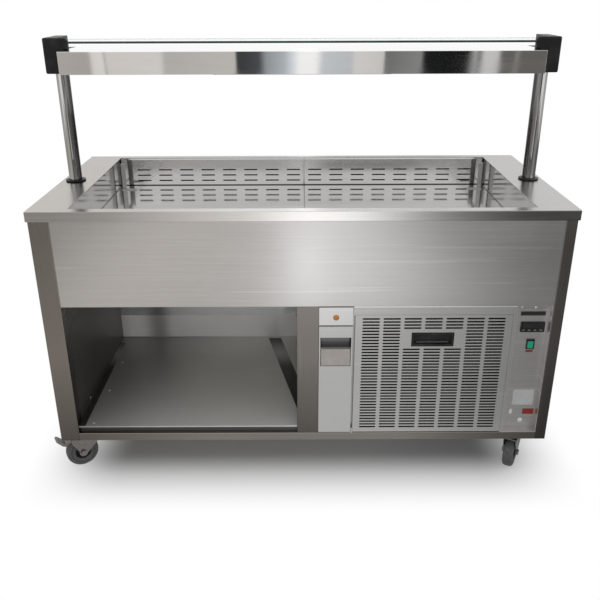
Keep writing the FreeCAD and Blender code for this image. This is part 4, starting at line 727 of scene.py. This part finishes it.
def block(shape, low, high, edge, steps=2):
    """A block between two corners, with its edges rounded."""
    made = bmesh.ops.create_cube(shape, size=1.0)["verts"]
    bmesh.ops.scale(shape, vec=[b - a for a, b in zip(low, high)], verts=made)
    bmesh.ops.translate(shape, vec=[(a + b) / 2 for a, b in zip(low, high)], verts=made)
    edges = list({edge_of for vert in made for edge_of in vert.link_edges})
    bmesh.ops.bevel(shape, geom=edges, offset=edge, affect="EDGES", segments=steps, profile=0.5,
                    material=-1)


def turned(shape, profile, axis, centre, steps):
    """Spin a profile of (radius, place along the axis) points about an axis through the centre."""
    old = set(shape.verts)
    verts = [shape.verts.new((radius, along, 0.0)) for radius, along in profile]
    edges = [shape.edges.new(pair) for pair in zip(verts, verts[1:])]
    bmesh.ops.spin(shape, geom=verts + edges, cent=(0, 0, 0), axis=(0, 1, 0), angle=2 * math.pi,
                   steps=steps, use_merge=True)
    bmesh.ops.remove_doubles(shape, verts=shape.verts, dist=SAME_POINT)
    bmesh.ops.recalc_face_normals(shape, faces=shape.faces)
    made = [vert for vert in shape.verts if vert not in old]
    turn = Vector((0, 1, 0)).rotation_difference(Vector(axis)).to_matrix()
    bmesh.ops.rotate(shape, cent=(0, 0, 0), matrix=turn, verts=made)
    bmesh.ops.translate(shape, vec=centre, verts=made)


def raised(shape, plan, foot, rise, edge):
    """A thin plate on a level face: a plan of (x, y) points raised from foot, with its edges rounded."""
    face = shape.faces.new([shape.verts.new((x, y, foot)) for x, y in plan])
    grown = bmesh.ops.extrude_face_region(shape, geom=[face])["geom"]
    upper = [part for part in grown if isinstance(part, bmesh.types.BMVert)]
    bmesh.ops.translate(shape, vec=(0, 0, rise), verts=upper)
    bmesh.ops.recalc_face_normals(shape, faces=shape.faces)
    bmesh.ops.bevel(shape, geom=shape.edges[:], offset=edge, affect="EDGES", segments=2, profile=0.5,
                    material=-1)


def new_mesh(name, build, material):
    """An object in the scene with the mesh that build draws, in one material."""
    shape = bmesh.new()
    build(shape)
    mesh = bpy.data.meshes.new(name)
    shape.to_mesh(mesh)
    shape.free()
    mesh.materials.append(material)
    made = bpy.data.objects.new(name, mesh)
    bpy.context.scene.collection.objects.link(made)
    return made


def piece(name, body, key, build, smooth=False):
    """A new mesh piece that build draws, riding a body with its finish."""
    made = new_mesh(name, build, FINISHES[key])
    if smooth:
        made.data.shade_smooth()
        made.data.set_sharp_from_angle(angle=SMOOTH_ANGLE)
    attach(made, body)
    return made


PLATE_RISE = 0.0006
PLATE_EDGE = 0.0002


def plate_on_front(name, body, key, x, z, face, rise=PLATE_RISE):
    """A thin plate or sticker on a face that looks towards -Y."""
    low, high = (x[0], face - rise, z[0]), (x[1], face, z[1])
    piece(name, body, key, lambda shape: block(shape, low, high, PLATE_EDGE))


# A screw head's profile, as shares of its radius and of its rise
SCREW_PROFILE = ((0.0, 0.45), (0.3, 0.45), (0.38, 1.0), (0.7, 0.85), (1.0, 0.3), (1.0, 0.0))
SCREW_STEPS = 20


def screw_head(name, centre, axis, radius=0.0035, rise=0.0016):
    """A domed screw head with its drive recess."""
    profile = [(radius * out, rise * up) for out, up in SCREW_PROFILE]
    piece(name, "cabinet", "screw",
          lambda shape: turned(shape, profile, axis, centre, SCREW_STEPS), smooth=True)


# Controls: blank plates and small fittings on the recessed panel
PLATES = (
    ("badge_plate", "dark_plate", "black_plastic", (0.631, 0.703), (0.537, 0.550)),
    ("switch_sticker", "red_plate", "black_plastic", (0.659, 0.680), (0.418, 0.425)),
    ("rating_plate", "silver_plate", "plain_steel", (0.638, 0.702), (0.237, 0.290)),
    ("red_label", "red_plate", "black_plastic", (0.674, 0.708), (0.204, 0.223)),
    ("white_label", "white_plate", "white_plastic", (0.633, 0.642), (0.206, 0.222)),
)
PANEL_SCREWS = ((0.632, 0.563), (0.6725, 0.563))
CAP_X, CAP_Z = 0.6695, 0.183
CAP_PROFILE = ((0.0, 0.003), (0.0055, 0.003), (0.0075, 0.002), (0.008, 0.0))
CAP_STEPS = 28
WINDOW_SIDE = 0.006
WINDOW_FOOT = 0.0125
WINDOW_HEAD = 0.004
WINDOW_RISE = 0.0004


def fit_controls():
    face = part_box("control_panel")[1].y - SHEET
    for name, key, slot, x, z in PLATES:
        plate_on_front(name, "cabinet", key, x, z, face)
    for number, (x, z) in enumerate(PANEL_SCREWS, start=1):
        screw_head(f"panel_screw_{number}", (x, face, z), (0, -1, 0))
    piece("round_blanking_cap", "cabinet", "white_plate",
          lambda shape: turned(shape, CAP_PROFILE, (0, -1, 0), (CAP_X, face, CAP_Z), CAP_STEPS), smooth=True)
    low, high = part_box("temperature_controller")
    window_x = (low.x + WINDOW_SIDE, high.x - WINDOW_SIDE)
    window_z = (low.z + WINDOW_FOOT, high.z - WINDOW_HEAD)
    plate_on_front("controller_window", "cabinet", "window", window_x, window_z, low.y,
                   WINDOW_RISE)


# Drawer: a blank label plate with a dark edge, under the finger pull
LABEL_X = (0.0505, 0.1392)
LABEL_Z = (0.3885, 0.4470)
LABEL_RIM = 0.0022


def fit_drawer_label():
    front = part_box("drawer_front")[0].y
    plate_on_front("drawer_label_backing", "drawer", "dark_plate", LABEL_X, LABEL_Z, front)
    inner_x = (LABEL_X[0] + LABEL_RIM, LABEL_X[1] - LABEL_RIM)
    inner_z = (LABEL_Z[0] + LABEL_RIM, LABEL_Z[1] - LABEL_RIM)
    plate_on_front("drawer_label", "drawer", "beige_plate", inner_x, inner_z,
                   front - PLATE_RISE)


# Grille door: the grip lip in its recessed pull
# The grip lip's paler grey is a painted highlight along its edge
LIP_HALF = 0.047
LIP_Z = (0.4625, 0.4662)
LIP_DEPTH = 0.0075
LIP_EDGE = 0.0012
LIP_STEPS = 3
CUP_BACK = 0.0025


def fit_handle_lip():
    low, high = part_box("door_handle_cup")
    middle = (low.x + high.x) / 2
    back = high.y - CUP_BACK
    start = (middle - LIP_HALF, back - LIP_DEPTH, LIP_Z[0])
    end = (middle + LIP_HALF, back, LIP_Z[1])
    piece("handle_grip_lip", "grille_leaf", "lip",
          lambda shape: block(shape, start, end, LIP_EDGE, LIP_STEPS))


# Storage bay: two thin strips lying on the shelf, one along each side, and screw heads
STRIP_RISE = 0.0016
STRIP_EDGE = 0.0004
STRIP_PLANS = {
    "shelf_strip_left": ((-0.6868, -0.344), (-0.6670, -0.344), (-0.6670, 0.221), (-0.6868, 0.221)),
    "shelf_strip_right": ((-0.0180, -0.252), (-0.0180, -0.038), (-0.0805, 0.256), (-0.1280, 0.256)),
}
SHELF_SCREWS = ((-0.645, 0.064), (-0.645, -0.132), (-0.645, -0.328))
SHELF_SCREW_RADIUS = 0.005
SHELF_SCREW_RISE = 0.0018
LINER_SCREW = (-0.203, 0.196)
LINER_SCREW_RADIUS = 0.004


def fit_storage_bay():
    for name, plan in STRIP_PLANS.items():
        piece(name, "cabinet", "strip",
              lambda shape: raised(shape, plan, SHELF_TOP, STRIP_RISE, STRIP_EDGE))
    for number, (x, y) in enumerate(SHELF_SCREWS, start=1):
        screw_head(f"shelf_screw_{number}", (x, y, SHELF_TOP), (0, 0, 1), SHELF_SCREW_RADIUS,
                   SHELF_SCREW_RISE)
    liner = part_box("bay_side_liner")[1].x
    screw_head("liner_screw", (liner, *LINER_SCREW), (1, 0, 0), LINER_SCREW_RADIUS)


# Castors: tyres on dished hubs, each drawn from the right half of its section
TYRE_SIDE = [
    (0.0250, 0.0140), (0.0275, 0.0156), (0.0345, 0.0160), (0.0356, 0.0136), (0.0372, 0.0136),
    (0.0386, 0.0160), (0.0445, 0.0152), (0.0486, 0.0122), (0.0500, 0.0070),
]
HUB_SIDE = [
    (0.0061, 0.0170), (0.0112, 0.0170), (0.0122, 0.0160), (0.0130, 0.0062), (0.0142, 0.0050),
    (0.0186, 0.0046), (0.0196, 0.0060), (0.0204, 0.0118), (0.0220, 0.0130), (0.0250, 0.0130),
]
TYRE_STEPS = 64
HUB_STEPS = 56


def both_sides(side):
    """A closed wheel section from the points of its right half."""
    return [(radius, -along) for radius, along in side] + side[::-1] + [(side[0][0], -side[0][1])]


def fit_castors():
    for corner in CORNERS:
        roll = joints[corner + "_roll"]
        centre, axle = roll["pos_m"], roll["axis"]
        body = corner + "_wheel"
        tyre = piece("tyre_" + corner, body, "tyre",
                     lambda shape: turned(shape, both_sides(TYRE_SIDE), axle, centre, TYRE_STEPS),
                     smooth=True)
        piece("hub_" + corner, body, "hub",
              lambda shape: turned(shape, both_sides(HUB_SIDE), axle, centre, HUB_STEPS),
              smooth=True)
        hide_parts("castor_wheel_" + corner)


# Stage: white floor and sky, soft lamps, and cards that only polished metal sees
def stage_mesh(name, build, material):
    made = new_mesh(name, build, material)
    return made


SEEN_RAYS = ("Is Camera Ray", "Is Glossy Ray", "Is Transmission Ray")


def seen_ray(wire):
    """1 for rays that come from the camera or off metal and glass."""
    camera, glossy, through = [wire.node("LightPath", None, None, out=name) for name in SEEN_RAYS]
    return (camera + glossy + through).clamp()


FLOOR_HALF = 30.0
FLOOR_GREY = 0.42
SHADOW_X = (0.56, 0.90)
SHADOW_Y = (0.22, 0.54)


def lay_floor():
    """A white floor that darkens only in the shadow close round the object."""
    made = bpy.data.materials.new("studio_floor")
    made.use_nodes = True
    wire = Wire(made.node_tree)
    diffuse = wire.node("BsdfDiffuse", None, {"Color": tone(FLOOR_GREY)})
    beside = abs(along_axis(wire, "X")).ramp(*SHADOW_X, eased=True)
    before = abs(along_axis(wire, "Y")).ramp(*SHADOW_Y, eased=True)
    away = 1.0 - (1.0 - beside) * (1.0 - before)
    glow = wire.node("Emission", None, {"Color": WHITE})
    both = wire.node("MixShader", None, {0: away * seen_ray(wire), 1: diffuse, 2: glow})
    wire.feed(made.node_tree.nodes["Material Output"].inputs["Surface"], both)

    def build(shape):
        bmesh.ops.create_grid(shape, x_segments=1, y_segments=1, size=FLOOR_HALF)

    stage_mesh("floor", build, made)


SKY_LIGHT = 0.5


def light_world():
    """A sky that looks white and lights what is dull at half that."""
    world = bpy.data.worlds.new("studio")
    bpy.context.scene.world = world
    world.use_nodes = True
    wire = Wire(world.node_tree)
    sky = wire.node("Background", None, {"Color": mix(wire, seen_ray(wire), tone(SKY_LIGHT), WHITE)})
    wire.feed(world.node_tree.nodes["World Output"].inputs["Surface"], sky)


# Lamps, as name, place, what it aims at, width and height, and watts
LAMPS = (
    ("overhead_softbox", (0.0, -0.6, 3.4), (0.0, 0.0, 0.5), (5.2, 4.0), 62),
    ("front_fill", (0.3, -3.0, 1.6), (0.0, 0.0, 0.4), (0.9, 0.6), 16),
)


def hang_lamps():
    """Wide lamps that light what is dull; steel reflects the sky in their place."""
    for name, place, aim, size, power in LAMPS:
        lamp = bpy.data.lights.new(name, "AREA")
        lamp.shape = "RECTANGLE"
        lamp.size, lamp.size_y = size
        lamp.energy = power
        made = bpy.data.objects.new(name, lamp)
        bpy.context.scene.collection.objects.link(made)
        made.location = place
        made.rotation_euler = (Vector(aim) - Vector(place)).to_track_quat("-Z", "Y").to_euler()
        made.visible_camera = False
        made.visible_glossy = False
        made.visible_transmission = False


# Cards round the object that only its steel reflects
CARD_EDGE = 0.001


def hang_card(name, low, high, colour, strength=1.0):
    """A glowing card between two corners; colour takes a wire, as it changes over the card."""
    made = bpy.data.materials.new(name)
    made.use_nodes = True
    wire = Wire(made.node_tree)
    glow = wire.node("Emission", None, {"Color": colour(wire), "Strength": strength})
    wire.feed(made.node_tree.nodes["Material Output"].inputs["Surface"], glow)
    card = stage_mesh(name, lambda shape: block(shape, low, high, CARD_EDGE), made)
    card.visible_camera = False
    card.visible_diffuse = False
    card.visible_shadow = False
    card.visible_transmission = False


CARD_WARMTH = 0.05


def warm_left(wire, warmest, plain, strength):
    """White light, warm to the left of one place along X and plain to the right of another."""
    white = mix(wire, along_axis(wire, "X").ramp(warmest, plain), tone(1.0, CARD_WARMTH), WHITE)
    return wire.node("VectorMath", {"operation": "SCALE"}, {0: white, "Scale": strength})


FLOOR_CARD = ((-6.0, -7.0, 0.0005), (6.0, 6.0, 0.004))
FLOOR_WARM_X = (-0.6, 0.05)
NEAR_FAR_Y = (-1.45, -1.75)
NEAR_RIGHT_X = (0.3, 1.0)
FAR_LEFT_X = (-1.45, -1.08)
FAR_MIDDLE_X = (-0.16, 0.0)
FAR_RIGHT_X = (0.32, 0.95)
FAR_END_X = (0.95, 1.35)
FAR_STREAK, FAR_STREAK_REACH = 0.01, 0.13


def floor_glow(wire):
    """Bright in the middle and dull to the right further out; even and dull to the right close by."""
    x, y = along_axis(wire, "X"), along_axis(wire, "Y")
    left = 0.5 + x.ramp(*FAR_LEFT_X) * 0.43 + x.ramp(*FAR_MIDDLE_X, eased=True) * 0.55
    right = x.ramp(*FAR_RIGHT_X) * 0.9 + x.ramp(*FAR_END_X) * 0.28
    far = left - right + x.peak(FAR_STREAK, FAR_STREAK_REACH) * 1.1
    near = 0.82 - x.ramp(*NEAR_RIGHT_X) * 0.55
    strength = near + (far - near) * y.ramp(*NEAR_FAR_Y)
    return warm_left(wire, *FLOOR_WARM_X, strength)


BACK_CARD = ((-5.0, 3.2, 1.53), (5.0, 3.21, 4.0))
BACK_WARM_X = (-1.5, -0.6)
BACK_STREAK, BACK_STREAK_REACH = 0.03, 0.13
BACK_DULL_X = (0.08, 0.25)
BACK_END_X = (1.05, 1.4)
BAND_Z = (1.84, 1.98)
BAND_FADE_Z = (2.1, 2.35)


def back_glow(wire):
    """A bright streak with a duller stretch to its right, and above them a bright band that fades."""
    x, z = along_axis(wire, "X"), along_axis(wire, "Z")
    streak = x.peak(BACK_STREAK, BACK_STREAK_REACH) * 1.2
    low = 0.9 + streak - x.ramp(*BACK_DULL_X) * 0.5 + x.ramp(*BACK_END_X) * 0.6
    high = 1.5 - z.ramp(*BAND_FADE_Z) * 0.7
    strength = low + (high - low) * z.ramp(*BAND_Z)
    return warm_left(wire, *BACK_WARM_X, strength)


# What the polished fascia reflects, as (place along it, grey, warmth)
FASCIA_TONES = (
    (-0.671, 0.42, 0.06), (-0.590, 0.40, 0.06), (-0.582, 0.70, 0.05), (-0.549, 0.74, 0.04),
    (-0.546, 0.30, 0.04), (-0.542, 0.64, 0.05), (-0.385, 0.66, 0.04), (-0.382, 0.46, 0.04),
    (-0.186, 0.54, 0.04), (-0.182, 0.045, -0.06), (-0.118, 0.08, -0.08), (-0.100, 0.34, -0.06),
    (-0.050, 0.50, -0.08), (-0.024, 0.80, -0.05), (-0.008, 1.0, 0.0), (0.036, 1.0, 0.0),
    (0.056, 0.62, -0.05), (0.138, 0.56, -0.04), (0.143, 0.68, 0.02), (0.226, 0.62, 0.02),
    (0.229, 0.17, 0.0), (0.330, 0.26, 0.0), (0.336, 0.012, -0.05), (0.455, 0.010, -0.05),
    (0.475, 0.45, 0.0), (0.486, 0.10, 0.0), (0.499, 0.62, 0.01), (0.538, 0.58, 0.01),
    (0.548, 0.13, 0.05), (0.580, 0.13, 0.05), (0.588, 0.26, 0.04), (0.600, 0.13, 0.05),
)
FASCIA_SPAN = (-0.70, 0.70)
FASCIA_LEAN = (-0.022, -0.0385)
FASCIA_RIPPLE = 0.03
CARD_Y = (-3.21, -3.2)
CARD_Z = (0.70, 1.20)


def hang_cards(camera_place):
    hang_card("floor_card", *FLOOR_CARD, floor_glow)
    hang_card("back_card", *BACK_CARD, back_glow)
    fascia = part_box("light_canopy")[0].y
    reach = 1 + (fascia - CARD_Y[1]) / (fascia - camera_place.y)
    ends = [camera_place.x + (edge - camera_place.x) * reach for edge in FASCIA_SPAN]
    width = FASCIA_SPAN[1] - FASCIA_SPAN[0]
    stops = [((place - FASCIA_SPAN[0]) / width, tone(grey, warmth)) for place, grey, warmth in FASCIA_TONES]

    def fascia_colour(wire):
        x, z = along_axis(wire, "X"), along_axis(wire, "Z")
        lean = (z - sum(CARD_Z) / 2) * (FASCIA_LEAN[0] + x * FASCIA_LEAN[1])
        ripple = (clouds(wire, scale=2.5, detail=2.0) - 0.5) * FASCIA_RIPPLE
        place = (x + lean + ripple).ramp(*ends)
        return wire.node("ValToRGB", {"stops": stops}, {0: place})

    low, high = (ends[0], CARD_Y[0], CARD_Z[0]), (ends[1], CARD_Y[1], CARD_Z[1])
    hang_card("fascia_card", low, high, fascia_colour, 1.0 / FASCIA_KEPT)


# Camera fitted to the photo
CAMERA_PLACE = Vector((-0.010, -2.218, 1.4065))
CAMERA_PITCH = math.radians(23.34)
CAMERA_YAW = math.radians(0.05)
CAMERA_ROLL = math.radians(-0.18)
CAMERA_LENS = 43.196
SENSOR_WIDTH = 36.0


def set_camera():
    lens = bpy.data.cameras.new("photo_camera")
    lens.lens = CAMERA_LENS
    lens.sensor_width = SENSOR_WIDTH
    lens.dof.use_dof = False
    made = bpy.data.objects.new("photo_camera", lens)
    bpy.context.scene.collection.objects.link(made)
    forward = Vector((math.sin(CAMERA_YAW) * math.cos(CAMERA_PITCH),
                      math.cos(CAMERA_YAW) * math.cos(CAMERA_PITCH), -math.sin(CAMERA_PITCH)))
    side = Vector((math.cos(CAMERA_YAW), -math.sin(CAMERA_YAW), 0))
    up = side.cross(forward)
    right = math.cos(CAMERA_ROLL) * side + math.sin(CAMERA_ROLL) * up
    top = math.cos(CAMERA_ROLL) * up - math.sin(CAMERA_ROLL) * side
    turn = Matrix((right, top, -forward)).transposed().to_4x4()
    made.matrix_world = Matrix.Translation(CAMERA_PLACE) @ turn
    bpy.context.scene.camera = made


dress_nodes()
fit_controls()
fit_drawer_label()
fit_handle_lip()
fit_storage_bay()
fit_castors()
lay_floor()
light_world()
hang_lamps()
hang_cards(CAMERA_PLACE)
set_camera()
bpy.context.scene.view_settings.view_transform = "Standard"
